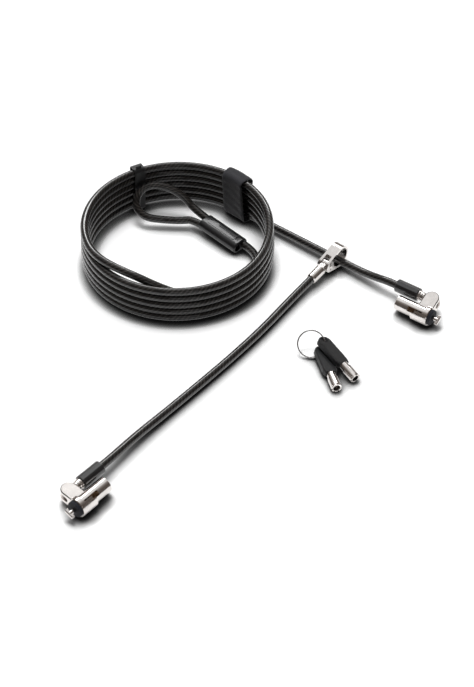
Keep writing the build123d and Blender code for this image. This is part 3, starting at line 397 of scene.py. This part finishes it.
def plated(name, tint, roughness, scale, relief, edges=0.0):
    """Plated or machined metal with smudges and fine rub marks; edges paints a dark reflection on
    its roundings.
    """
    surface = Surface(name, Metallic=1.0)
    effect = surface.group("Handling Marks", Scale=scale)
    worn = tuple(c * SMUDGE_TONE for c in tint)
    surface.blend("Base Color", effect["Smudge"], tuple(tint), worn)
    clean, smudged = (roughness * change for change in SMUDGE_ROUGHNESS)
    surface.blend("Roughness", effect["Smudge"], clean, smudged)
    if edges:
        surface.paint_roundings_reflection(edges)
    surface.bump(effect["Height"], strength=relief, distance=0.0001)
    return surface.material


CLOUD_TONE, CLOUD_LIFT = 1.9, 0.002  # paler patches: the tint times one, plus the other
GRAIN_ROUGHNESS = (0.85, 1.2)      # least and most roughness over the grain, as shares
PAINTED_EDGE_SHARE = 0.8                  # how far the small roundings take the colour of their painted highlight
GRAIN_DEPTH = 0.2                  # depth of the grain as a share of its size


def moulded(name, tint, roughness, grain, relief, coat=0.0, edges=None):
    """Moulded plastic or rubber; edges is the colour of a painted highlight on its small roundings.
    """
    surface = Surface(name, Coat_Weight=coat, Coat_Roughness=0.06, Specular_IOR_Level=0.35)
    effect = surface.group("Moulded Grain", Size=grain)
    pale = tuple(c * CLOUD_TONE + CLOUD_LIFT for c in tint)
    surface.blend("Base Color", effect["Cloud"], tuple(tint), pale)
    pit, top = (roughness * change for change in GRAIN_ROUGHNESS)
    surface.blend("Roughness", effect["Grain"], pit, top)
    if edges:
        surface.paint_roundings_reflection(PAINTED_EDGE_SHARE, edges)
    surface.bump(effect["Grain"], strength=relief, distance=grain * GRAIN_DEPTH)
    return surface.material


FIBRE_TONE = 3.2                   # brightness of the loose fibre against the tape


def woven_tape(strap):
    """Charcoal hook-and-loop tape."""
    surface = Surface("Charcoal woven tape", Roughness=0.8, Sheen_Weight=0.35, Sheen_Roughness=0.4)
    effect = surface.group("Tape Weave", surface.map("Tape"), Thread=strap.thread)
    light = tuple(c * FIBRE_TONE for c in strap.fabric)
    surface.blend("Base Color", effect["Fibre"], tuple(strap.fabric), light)
    surface.blend("Roughness", effect["Thread Top"], 0.92, 0.62)
    surface.bump(effect["Height"], strength=0.7, distance=0.00025)
    return surface.material


SHARP_TURN = 0.7                   # radians; an edge that turns more is a corner, not a rounding
LEAST_SPAN = 1e-7                  # faces closer together than this say nothing of the curve


def mark_roundings(name, tight=0.0011, wide=0.0026):
    """Store how tightly a node's faces curve: 1 on small roundings, 0 on flats and barrels.

    Up to the radius tight it is 1, from the radius wide on it is 0.
    """
    mesh = NODES[name].data
    grid = bmesh.new()
    grid.from_mesh(mesh)
    curve = [0.0] * len(grid.faces)
    for edge in grid.edges:
        if len(edge.link_faces) != 2:
            continue
        first, second = edge.link_faces
        turn = first.normal.angle(second.normal, 0.0)
        between = first.calc_center_median() - second.calc_center_median()
        line = (edge.verts[0].co - edge.verts[1].co).normalized()
        across = (between - line * between.dot(line)).length
        if turn < SHARP_TURN and across > LEAST_SPAN:
            for face in (first, second):
                curve[face.index] = max(curve[face.index], turn / across)
    grid.free()
    layer = mesh.attributes.get("Rounding") or mesh.attributes.new("Rounding", "FLOAT", "FACE")
    steep = 1 / tight - 1 / wide
    layer.data.foreach_set("value", [min(max((c - 1 / wide) / steep, 0.0), 1.0) for c in curve])


def dress(material, *names):
    """Give carried-over nodes their finish."""
    for name in names:
        slots = NODES[name].data.materials
        slots.clear()
        slots.append(material)


# ---- cable ---------------------------------------------------------------------------------------
COIL_CENTRE = (-0.0561, 0.1203)
COIL_RADIUS = 0.0641
COIL_PITCH = 0.0060                # height from one layer to the next
COIL_TURNS = 5                     # whole turns below the last one
COIL_START, COIL_END = 50.5, 2115  # degrees gone round where the cable joins and leaves the coil
COIL_STEP = 10.0
COIL_WAVER, WAVER_RATE = 0.0004, 0.13  # slow change of the radius along the coil
COIL_LEAN = 0.11                   # how far the stack leans to the front for its height
COIL_TILT = 0.00085                # half of how much higher the back lies than the front
CLIMB_START, CLIMB_SPAN = 315, 75  # degrees of each turn over which it climbs a layer
ROLL_START, ROLL_SPAN = 205, 57    # degrees of the last turn over which it rolls inward
ROLL_REACH = 0.0073                # how far inward it rolls
DROP_START, DROP_SPAN = 242, 73    # degrees of the last turn over which it comes down
FLOOR_LINE = 0.00275               # height of a cable's centre line that lies on the floor
TUBE_SIDES = 16


def smooth(t):
    """Ease from 0 to 1."""
    t = min(max(t, 0.0), 1.0)
    return t * t * (3 - 2 * t)


def coil_point(angle):
    """Centre of the coiled cable after it has gone round by this many degrees."""
    last_turn = angle - 360 * COIL_TURNS
    swing = math.radians(90 * smooth((last_turn - ROLL_START) / ROLL_SPAN))
    drop = smooth((last_turn - DROP_START) / DROP_SPAN)
    climbs, rest = divmod(angle - CLIMB_START, 360)
    layer = climbs + smooth(rest / CLIMB_SPAN)
    if last_turn > ROLL_START:
        layer = (COIL_TURNS - 1 + math.cos(swing)) * (1 - drop)
    height = layer * COIL_PITCH
    waver = COIL_WAVER * math.sin(math.radians(WAVER_RATE * angle))
    radius = COIL_RADIUS + waver - ROLL_REACH * math.sin(swing)
    turn = math.radians(angle)
    return (
        COIL_CENTRE[0] + radius * math.cos(turn),
        COIL_CENTRE[1] + radius * math.sin(turn) - COIL_LEAN * height,
        FLOOR_LINE + COIL_TILT * (1 + math.sin(turn)) + height,
    )


STRETCH_ROUTE = [                  # from lock A back to the coil
    (0.1024, 0.0731, 0.0103),
    (0.0873, 0.0839, 0.0103),
    (0.0799, 0.0905, 0.0076),
    (0.0671, 0.1023, 0.00475),
    (0.0324, 0.1309, 0.00475),
    (0.0117, 0.1482, 0.0041),
    (-0.0060, 0.1622, 0.0042),
]
TAIL_ROUTE = [                     # from the coil to the loop's sleeve
    (-0.0084, 0.0882, 0.0031),
    (-0.0029, 0.0985, 0.0029),
    (0.0000, 0.1078, 0.0030),
    (-0.0015, 0.1173, 0.0034),
    (-0.0055, 0.1243, 0.0041),
    (-0.0111, 0.1300, 0.0046),
]
LOOP_ROUTE = [                     # out of the sleeve, round the loop and back in
    (-0.0440, 0.1613, 0.0078),
    (-0.0541, 0.1681, 0.0182),
    (-0.0667, 0.1709, 0.0239),
    (-0.0788, 0.1703, 0.0249),
    (-0.0861, 0.1655, 0.0201),
    (-0.0870, 0.1594, 0.0131),
    (-0.0806, 0.1545, 0.0082),
    (-0.0685, 0.1536, 0.0068),
    (-0.0547, 0.1527, 0.0066),
    (-0.0447, 0.1533, 0.0074),
    (-0.0211, 0.1310, 0.0052),
]
SHORT_ROUTE = [                    # from the sliding ring to lock B
    (0.0410, 0.0981, 0.0064),
    (0.0309, 0.0859, 0.0042),
    (0.0184, 0.0689, 0.0029),
    (0.0013, 0.0431, 0.00275),
    (-0.0184, 0.0171, 0.00275),
    (-0.0389, -0.0080, 0.00275),
    (-0.0607, -0.0340, 0.00275),
    (-0.0785, -0.0563, 0.0046),
    (-0.0934, -0.0789, 0.0076),
    (-0.1054, -0.0930, 0.0076),
]


def link(thing):
    """Put a new object in the scene."""
    bpy.context.scene.collection.objects.link(thing)
    return thing


def route_line(name, points):
    """Points read from one smooth line that is drawn through a route."""
    curve = bpy.data.curves.new(name, "CURVE")
    curve.dimensions = "3D"
    curve.resolution_u = 8
    spline = curve.splines.new("NURBS")
    spline.points.add(len(points) - 1)
    for place, point in zip(spline.points, points):
        place.co = (*point, 1.0)
    spline.order_u = 3
    spline.use_endpoint_u = True
    holder = link(bpy.data.objects.new(name, curve))
    mesh = bpy.data.meshes.new_from_object(holder)
    line = [vertex.co.copy() for vertex in mesh.vertices]
    bpy.data.objects.remove(holder)
    bpy.data.meshes.remove(mesh)
    bpy.data.curves.remove(curve)
    return line


def tube(name, line, radius, material, sides=TUBE_SIDES):
    """Round tube along a line; its map runs from 0 to 1 round it and, to scale, along it."""
    ahead = [(b - a).normalized() for a, b in zip(line, line[1:])]
    heads = [ahead[0]] + [(a + b).normalized() for a, b in zip(ahead, ahead[1:])] + [ahead[-1]]
    side = heads[0].orthogonal().normalized()
    corners, along, run = [], [], 0.0
    for index, (place, head) in enumerate(zip(line, heads)):
        side = (side - head * side.dot(head)).normalized()
        other = head.cross(side)
        if index:
            run += (place - line[index - 1]).length
        along.append(run / (math.tau * radius))
        for step in range(sides):
            turn = math.tau * step / sides
            corners.append(place + (side * math.cos(turn) + other * math.sin(turn)) * radius)
    faces, map_points = [], []
    for ring in range(len(line) - 1):
        for step in range(sides):
            here, there = ring * sides, (ring + 1) * sides
            after = (step + 1) % sides
            faces.append((here + step, here + after, there + after, there + step))
            left, right = step / sides, (step + 1) / sides
            low, high = along[ring], along[ring + 1]
            map_points += [(left, low), (right, low), (right, high), (left, high)]
    mesh = bpy.data.meshes.new(name)
    mesh.from_pydata(corners, [], faces)
    layer = mesh.uv_layers.new(name="Jacket")
    for loop, place in zip(layer.data, map_points):
        loop.uv = place
    mesh.polygons.foreach_set("use_smooth", [True] * len(mesh.polygons))
    mesh.materials.append(material)
    return link(bpy.data.objects.new(name, mesh))


class CABLELOCK_OT_long_cable(bpy.types.Operator):
    """Long cable: from the first lock round the coil to the anchor loop"""

    bl_idname = "cable_lock.long_cable"
    bl_label = "Long cable"

    def execute(self, context):
        cable = settings("cable")
        swept = COIL_END - COIL_START
        steps = round(swept / COIL_STEP)
        turns = [coil_point(COIL_START + swept * n / steps) for n in range(steps + 1)]
        line = route_line("Long route", STRETCH_ROUTE + turns + TAIL_ROUTE + LOOP_ROUTE)
        piece = tube("long_cable", line, cable.diameter / 2, cable_jacket(cable))
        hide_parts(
            "long_cable_stretch", "long_cable_coil", "long_cable_tail", "anchor_loop"
        )
        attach(piece, "long_cable")
        return {"FINISHED"}


class CABLELOCK_OT_short_cable(bpy.types.Operator):
    """Short cable from the sliding ring to the second lock"""

    bl_idname = "cable_lock.short_cable"
    bl_label = "Short cable"

    def execute(self, context):
        cable = settings("cable")
        line = route_line("Short route", SHORT_ROUTE)
        jacket = bpy.data.materials.get(JACKET) or cable_jacket(cable)
        piece = tube("branch_cable", line, cable.diameter / 2, jacket)
        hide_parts("short_cable")
        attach(piece, "short_cable")
        return {"FINISHED"}


# ---- strap and tie -------------------------------------------------------------------------------
STRAP_INSIDE = 0.0045              # half of the room between its two legs
STRAP_ABOVE = 0.00285              # from the top turn's centre line up to its inner face
STRAP_LEAD = 0.004                 # how far below the top its hidden end begins
FLAP_SHORT = 0.0025                # how far above the foot its flap ends
FOOT_BEND, HEAD_BEND = 0.0029, 0.0034  # radii of its bends at the foot and at the top
BEND_STEPS = 8
STRAP_STEP = 0.0011                # distance between two rows of its mesh
STRAP_EDGE = 0.97                  # share of the half width beyond which the tape thins
EDGE_SLIM = 0.26                   # half of the edge's thickness, as a share of the tape's
STRAP_RIPPLE = 0.00012             # the tape isn't quite flat
RIPPLE_ALONG, RIPPLE_ACROSS = 900, 3  # radians per metre, and per half width


def strap_path(strap):
    """Middle line of the strap in the plane across the coil, out from the coil's centre and up."""
    half = STRAP_INSIDE + strap.thickness / 2
    lean = COIL_LEAN * COIL_TURNS * COIL_PITCH * math.sin(strap.angle)
    top_turn = coil_point(360 * COIL_TURNS + math.degrees(strap.angle))
    top = top_turn[2] + STRAP_ABOVE + strap.thickness / 2
    foot = strap.thickness / 2 + STRAP_RIPPLE
    inner_foot, outer_foot = Vector((-half, foot)), Vector((half, foot))
    outer_head, inner_head = Vector((half - lean, top)), Vector((-half - lean, top))
    slope = (inner_foot - inner_head).normalized()
    over = Vector((slope.y, -slope.x)) * strap.thickness
    start = inner_head + slope * STRAP_LEAD
    flap_head, flap_end = inner_head + over, inner_foot + over - slope * FLAP_SHORT
    corners = [
        (inner_foot, FOOT_BEND),
        (outer_foot, FOOT_BEND),
        (outer_head, HEAD_BEND),
        (flap_head, HEAD_BEND),
    ]
    line = [start]
    stops = [start, *(place for place, _ in corners), flap_end]
    for (place, radius), before, after in zip(corners, stops, stops[2:]):
        back, ahead = (before - place).normalized(), (after - place).normalized()
        reach = radius / math.tan(back.angle(ahead) / 2)
        for step in range(BEND_STEPS + 1):
            t = step / BEND_STEPS
            first, last = place + back * reach, place + ahead * reach
            line.append(first * (1 - t) ** 2 + place * (2 * t * (1 - t)) + last * t**2)
    line.append(flap_end)
    return line


def even_line(line, step):
    """Evenly spaced points about one step apart along a line, and the line's length."""
    lengths = [0.0]
    for a, b in zip(line, line[1:]):
        lengths.append(lengths[-1] + (b - a).length)
    count = round(lengths[-1] / step)
    points, place = [], 0
    for index in range(count + 1):
        run = lengths[-1] * index / count
        while place < len(line) - 2 and lengths[place + 1] < run:
            place += 1
        part = (run - lengths[place]) / (lengths[place + 1] - lengths[place])
        points.append(line[place].lerp(line[place + 1], part))
    return points, lengths[-1]


def strap_mesh(strap, line, long, corner=0.004, columns=16):
    """Tape with soft edges along a line; its last end has round corners, its map is in metres."""
    step = long / (len(line) - 1)
    corners, marks = [], []
    for index, place in enumerate(line):
        ahead = line[min(index + 1, len(line) - 1)] - line[max(index - 1, 0)]
        normal = Vector((ahead.y, -ahead.x)).normalized()
        left = corner - (long - index * step)
        narrow = corner - math.sqrt(max(corner**2 - left**2, 0.0)) if left > 0 else 0.0
        half = strap.width / 2 - narrow
        for face in (1, -1):
            for column in range(columns + 1):
                across = math.sin(math.pi * (column / columns - 0.5))
                slim = strap.thickness * (0.5 if abs(across) < STRAP_EDGE else EDGE_SLIM)
                wave = RIPPLE_ALONG * index * step + RIPPLE_ACROSS * across
                ripple = STRAP_RIPPLE * math.sin(wave)
                spot = place + normal * (face * slim + ripple)
                turn = strap.angle + half * across / COIL_RADIUS
                reach = COIL_RADIUS + spot.x
                x = COIL_CENTRE[0] + reach * math.cos(turn)
                y = COIL_CENTRE[1] + reach * math.sin(turn)
                corners.append((x, y, spot.y))
                marks.append((half * across, index * step))
    rows, width = len(line), columns + 1
    faces = []
    for row in range(rows - 1):
        for column in range(columns):
            a = row * 2 * width + column
            b = a + 2 * width
            faces.append((a, a + 1, b + 1, b))
            faces.append((a + width, b + width, b + width + 1, a + width + 1))
        for column in (0, columns):
            a = row * 2 * width + column
            b = a + 2 * width
            side = (a, b, b + width, a + width)
            faces.append(side if column == 0 else side[::-1])
    for row in (0, rows - 1):
        for column in range(columns):
            a = row * 2 * width + column
            end = (a, a + width, a + width + 1, a + 1)
            faces.append(end if row == 0 else end[::-1])
    mesh = bpy.data.meshes.new("hook_strap")
    mesh.from_pydata(corners, [], faces)
    layer = mesh.uv_layers.new(name="Tape")
    for loop, corner_loop in zip(layer.data, mesh.loops):
        loop.uv = marks[corner_loop.vertex_index]
    mesh.polygons.foreach_set("use_smooth", [True] * len(mesh.polygons))
    return mesh


class CABLELOCK_OT_strap(bpy.types.Operator):
    """Hook-and-loop strap that goes once round the coil and closes on itself"""

    bl_idname = "cable_lock.strap"
    bl_label = "Strap"

    def execute(self, context):
        strap = settings("strap")
        line, long = even_line(strap_path(strap), STRAP_STEP)
        mesh = strap_mesh(strap, line, long)
        mesh.materials.append(woven_tape(strap))
        piece = link(bpy.data.objects.new("hook_strap", mesh))
        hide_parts("hook_and_loop_strap")
        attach(piece, "long_cable")
        return {"FINISHED"}


class CABLELOCK_OT_tie(bpy.types.Operator):
    """Flat tie at the back of the coil"""

    bl_idname = "cable_lock.tie"
    bl_label = "Tie"

    def execute(self, context):
        plastic = settings("plastic")
        tie = moulded(
            "Tie plastic", tuple(plastic.sleeve), roughness=0.45, grain=plastic.grain, relief=0.15
        )
        dress(tie, "bundle_tie")
        return {"FINISHED"}


# ---- fittings ------------------------------------------------------------------------------------
class CABLELOCK_OT_sleeves(bpy.types.Operator):
    """Moulded sleeves and the crimps inside them"""

    bl_idname = "cable_lock.sleeves"
    bl_label = "Sleeves"

    def execute(self, context):
        plastic = settings("plastic")
        for name, coat, nodes in (
            ("Glossy moulded vinyl", 1.0, ("cable_a_sleeve", "cable_b_sleeve")),
            ("Moulded vinyl", 0.2, ("loop_sleeve",)),
        ):
            vinyl = moulded(
                name,
                tuple(plastic.sleeve),
                roughness=0.3,
                grain=plastic.grain,
                relief=0.03,
                coat=coat,
            )
            dress(vinyl, *nodes)
        aluminium = plated(
            "Crimped aluminium", (0.72, 0.72, 0.73), roughness=0.35, scale=160.0, relief=0.3
        )
        dress(aluminium, "loop_ferrule")
        return {"FINISHED"}


class CABLELOCK_OT_locks(bpy.types.Operator):
    """Both lock heads with their cylinders, pins and T-bars"""

    bl_idname = "cable_lock.locks"
    bl_label = "Lock heads"

    def execute(self, context):
        metal, plastic = settings("metal"), settings("plastic")
        nickel = plated(
            "Satin nickel casting",
            tuple(metal.nickel),
            metal.satin,
            scale=130.0,
            relief=0.25,
            # a painted dark reflection on the casting's small roundings
            edges=0.9,
        )
        chrome = plated(
            "Bright chrome", tuple(metal.chrome), metal.polish, scale=110.0, relief=0.05
        )
        # brass darkened as painted shade for the cylinder deep in the housing
        brass = plated(
            "Machined brass", tuple(metal.brass), roughness=0.26, scale=220.0, relief=0.2
        )
        steel = plated(
            "Machined steel", (0.62, 0.62, 0.63), roughness=0.3, scale=240.0, relief=0.2
        )
        rubber = moulded(
            "Grained rubber",
            tuple(plastic.rubber),
            roughness=0.72,
            grain=plastic.grain,
            relief=0.9,
        )
        for lock in ("lock_a", "lock_b"):
            mark_roundings(f"{lock}_housing")
            dress(nickel, f"{lock}_housing")
            dress(chrome, f"{lock}_barrel", f"{lock}_t_bar")
            dress(brass, f"{lock}_cylinder", f"{lock}_plug")
            dress(brass, f"{lock}_key_pins", f"{lock}_driver_pins")
            dress(steel, f"{lock}_pin_springs", f"{lock}_retaining_clip", f"{lock}_pivot_pin")
            dress(rubber, f"{lock}_bumper")
        for cable in ("cable_a", "cable_b"):
            dress(chrome, f"{cable}_eye", f"{cable}_ferrule")
        return {"FINISHED"}


class CABLELOCK_OT_sliding_ring(bpy.types.Operator):
    """Ring that slides on the long cable, its pin and the short cable's crimp"""

    bl_idname = "cable_lock.sliding_ring"
    bl_label = "Sliding ring"

    def execute(self, context):
        metal = settings("metal")
        # edges gives the ring's small roundings a painted dark reflection
        chrome = plated(
            "Ring chrome", tuple(metal.chrome), metal.polish, scale=90.0, relief=0.08, edges=0.85
        )
        mark_roundings("ring_shackle")
        dress(chrome, "ring_shackle", "ring_pin", "ring_ferrule")
        return {"FINISHED"}


class CABLELOCK_OT_keys(bpy.types.Operator):
    """Two tubular keys on a split ring"""

    bl_idname = "cable_lock.keys"
    bl_label = "Keys"

    def execute(self, context):
        metal, plastic = settings("metal"), settings("plastic")
        bow = moulded(
            "Key bow plastic",
            tuple(plastic.bow),
            roughness=0.5,
            grain=plastic.grain * 0.7,
            relief=0.6,
            # painted highlight on the bows' small roundings
            edges=(0.10, 0.10, 0.10),
        )
        for name in ("key_1_bow", "key_2_bow"):
            mark_roundings(name)
            dress(bow, name)
        chrome = plated("Key chrome", tuple(metal.chrome), metal.polish, scale=150.0, relief=0.06)
        dress(chrome, "key_1_barrel", "key_2_barrel")
        wire = plated("Ring wire", (0.42, 0.41, 0.41), roughness=0.22, scale=300.0, relief=0.1)
        dress(wire, "split_ring")
        return {"FINISHED"}


# ---- stage ---------------------------------------------------------------------------------------
CAMERA_PLACE = (-0.0151, -0.8159, 0.8030)
CAMERA_AIM = (-0.0151, 0.0759, 0.0)
CAMERA_SHIFT = -0.0633
FLOOR_REACH = 3.0                      # half of the floor's side
FLOOR_DROP = 0.0002                    # how far the floor lies below the pieces
LAMP_AIM = (0.0, 0.05, 0.0)
CANOPY_TOWARD = (-0.10, 0.42, 0.90)    # direction of the white canopy that polished pieces mirror
CANOPY_TONES = (                       # closeness to that direction, and the room's colour there
    (0.45, (0.12, 0.103, 0.092)),
    (0.76, (0.30, 0.27, 0.25)),
    (0.94, (1.0, 1.0, 1.0)),
)
CONTACT_SIDE = (-0.20, 0.56, 0.80)     # the painted contact shadow falls away from this direction
CONTACT_POWER = 2.2
CONTACT_FROM, CONTACT_TO = 0.08, 0.85  # openness of the floor at which it is darkest and white
CONTACT_LEAST = 0.008                  # how light the darkest floor stays


def painted_contact_shadow(tree, reach):
    """How open the floor is where the camera sees it: low close to whatever lies on it, where it
    paints a contact shadow.
    """
    toward = tree.node("ShaderNodeCombineXYZ")
    for axis, part in zip("XYZ", CONTACT_SIDE):
        toward.inputs[axis].default_value = part
    contact = tree.node("ShaderNodeAmbientOcclusion")
    contact.inputs["Distance"].default_value = reach
    tree.link(toward.outputs[0], contact.inputs["Normal"])
    curve = tree.node("ShaderNodeMapRange", interpolation_type="SMOOTHSTEP")
    curve.inputs["From Min"].default_value = CONTACT_FROM
    curve.inputs["From Max"].default_value = CONTACT_TO
    curve.inputs["To Min"].default_value = CONTACT_LEAST
    deeper = tree.math("POWER", contact.outputs["AO"], CONTACT_POWER)
    tree.link(deeper, curve.inputs["Value"])
    seen = tree.node("ShaderNodeMix")
    tree.link(tree.node("ShaderNodeLightPath").outputs["Is Camera Ray"], seen.inputs[0])
    seen.inputs[2].default_value = 1.0
    tree.link(curve.outputs["Result"], seen.inputs[3])
    return seen.outputs[0]


def seen_white(tree, surface, strength, openness):
    """Add white light that only the camera and reflections see, less where it is less open: the
    painted contact shadow.
    """
    rays = tree.node("ShaderNodeLightPath").outputs
    seen = tree.math("MAXIMUM", rays["Is Camera Ray"], rays["Is Glossy Ray"])
    level = tree.math("MULTIPLY", tree.math("MULTIPLY", seen, strength), openness)
    glow = tree.node("ShaderNodeEmission")
    tree.link(level, glow.inputs["Strength"])
    both = tree.node("ShaderNodeAddShader")
    tree.link(surface, both.inputs[0])
    tree.link(glow.outputs[0], both.inputs[1])
    return both.outputs[0]


def floor_paint(stage):
    """White floor paint with a painted contact shadow close to whatever lies on it."""
    paint = bpy.data.materials.new("White floor")
    paint.use_nodes = True
    tree = NodeTree(paint.node_tree)
    tree.nodes.remove(tree.nodes["Principled BSDF"])
    matt = tree.node("ShaderNodeBsdfDiffuse")
    openness = painted_contact_shadow(tree, stage.contact)
    tree.link(tree.math("MULTIPLY", openness, stage.floor), matt.inputs["Color"])
    white = seen_white(tree, matt.outputs[0], stage.lift, openness)
    tree.link(white, tree.nodes["Material Output"].inputs["Surface"])
    return paint


def aim(holder, place, target):
    """Put a lamp or the camera at a place and turn it to a target."""
    holder.location = place
    toward = Vector(target) - Vector(place)
    holder.rotation_euler = toward.to_track_quat("-Z", "Y").to_euler()


def lamp(name, place, size, power):
    """Soft rectangular lamp."""
    light = bpy.data.lights.new(name, "AREA")
    light.shape = "RECTANGLE"
    light.size, light.size_y = size
    light.energy = power
    holder = link(bpy.data.objects.new(name, light))
    aim(holder, place, LAMP_AIM)
    return holder


def studio_world(stage):
    """Dim room for the surfaces, a white canopy overhead for reflections and white behind all."""
    world = bpy.data.worlds.new("Studio")
    world.use_nodes = True
    tree = NodeTree(world.node_tree)
    rays = tree.node("ShaderNodeLightPath").outputs
    ambient = tree.nodes["Background"]
    ambient.inputs["Color"].default_value = (1.0, 1.0, 1.0, 1.0)
    ambient.inputs["Strength"].default_value = stage.ambient
    canopy = tree.node("ShaderNodeVectorMath", operation="DOT_PRODUCT")
    canopy.inputs[1].default_value = CANOPY_TOWARD
    tree.link(tree.node("ShaderNodeTexCoord").outputs["Generated"], canopy.inputs[0])
    ramp = tree.node("ShaderNodeValToRGB")
    stops = ramp.color_ramp.elements
    stops.new(0.5)
    for stop, (position, tone) in zip(stops, CANOPY_TONES):
        stop.position = position
        stop.color = (*tone, 1.0)
    tree.link(canopy.outputs["Value"], ramp.inputs[0])
    mirrored = tree.node("ShaderNodeBackground")
    tree.link(ramp.outputs["Color"], mirrored.inputs["Color"])
    behind = tree.node("ShaderNodeBackground")
    behind.inputs["Color"].default_value = (1.0, 1.0, 1.0, 1.0)
    shown = ambient.outputs[0]
    for ray, light in (("Is Glossy Ray", mirrored), ("Is Camera Ray", behind)):
        mix = tree.node("ShaderNodeMixShader")
        tree.link(rays[ray], mix.inputs[0])
        tree.link(shown, mix.inputs[1])
        tree.link(light.outputs[0], mix.inputs[2])
        shown = mix.outputs[0]
    tree.link(shown, tree.nodes["World Output"].inputs["Surface"])
    return world


class CABLELOCK_OT_stage(bpy.types.Operator):
    """White floor, soft lamps and the camera"""

    bl_idname = "cable_lock.stage"
    bl_label = "Stage"

    def execute(self, context):
        stage = settings("stage")
        camera = link(bpy.data.objects.new("Camera", bpy.data.cameras.new("Camera")))
        camera.data.lens = stage.lens
        camera.data.shift_y = CAMERA_SHIFT
        aim(camera, CAMERA_PLACE, CAMERA_AIM)
        context.scene.camera = camera

        mesh = bpy.data.meshes.new("Floor")
        sides = ((-1, -1), (1, -1), (1, 1), (-1, 1))
        corners = [(FLOOR_REACH * x, FLOOR_REACH * y, 0) for x, y in sides]
        mesh.from_pydata(corners, [], [(0, 1, 2, 3)])
        mesh.materials.append(floor_paint(stage))
        floor = link(bpy.data.objects.new("Floor", mesh))
        floor.location.z = -FLOOR_DROP

        context.scene.world = studio_world(stage)
        top = lamp("Top lamp", (-0.3, 1.05, 4.90), (2.0, 1.8), stage.top_power)
        top.visible_glossy = False     # the world's canopy stands for it in reflections
        lamp("Back lamp", (0.0, 4.10, 3.82), (2.8, 0.75), stage.back_power)
        lamp("Front lamp", (0.6, -4.2, 2.6), (2.4, 0.4), stage.front_power)
        context.scene.view_settings.view_transform = "Standard"
        return {"FINISHED"}


class CABLELOCK_PT_panel(bpy.types.Panel):
    """Lists the pieces of the set"""

    bl_idname = "CABLELOCK_PT_panel"
    bl_label = "Cable Lock Set"
    bl_space_type = "VIEW_3D"
    bl_region_type = "UI"
    bl_category = "Cable Lock"

    def draw(self, context):
        for name, _ in SETTINGS:
            box = self.layout.box()
            box.label(text=name.replace("_", " ").capitalize())
            group = settings(name)
            for key in group.__annotations__:
                box.prop(group, key)
        for operator in OPERATORS:
            self.layout.operator(operator.bl_idname)


SETTINGS = [
    ("cable", CableSettings),
    ("strap", StrapSettings),
    ("metal", MetalSettings),
    ("plastic", PlasticSettings),
    ("stage", StageSettings),
]
OPERATORS = [
    CABLELOCK_OT_stage,
    CABLELOCK_OT_long_cable,
    CABLELOCK_OT_short_cable,
    CABLELOCK_OT_strap,
    CABLELOCK_OT_tie,
    CABLELOCK_OT_sleeves,
    CABLELOCK_OT_locks,
    CABLELOCK_OT_sliding_ring,
    CABLELOCK_OT_keys,
]


def register():
    """Register the settings, operators and panel."""
    for name, group in SETTINGS:
        bpy.utils.register_class(group)
        setattr(bpy.types.Scene, f"cable_lock_{name}", PointerProperty(type=group))
    for operator in OPERATORS:
        bpy.utils.register_class(operator)
    bpy.utils.register_class(CABLELOCK_PT_panel)


def unregister():
    """Take everything out again."""
    bpy.utils.unregister_class(CABLELOCK_PT_panel)
    for operator in reversed(OPERATORS):
        bpy.utils.unregister_class(operator)
    for name, group in reversed(SETTINGS):
        delattr(bpy.types.Scene, f"cable_lock_{name}")
        bpy.utils.unregister_class(group)


def main():
    """Build the whole set."""
    register()
    for operator in OPERATORS:
        group, name = operator.bl_idname.split(".")
        getattr(getattr(bpy.ops, group), name)()


if __name__ == "__main__":
    main()
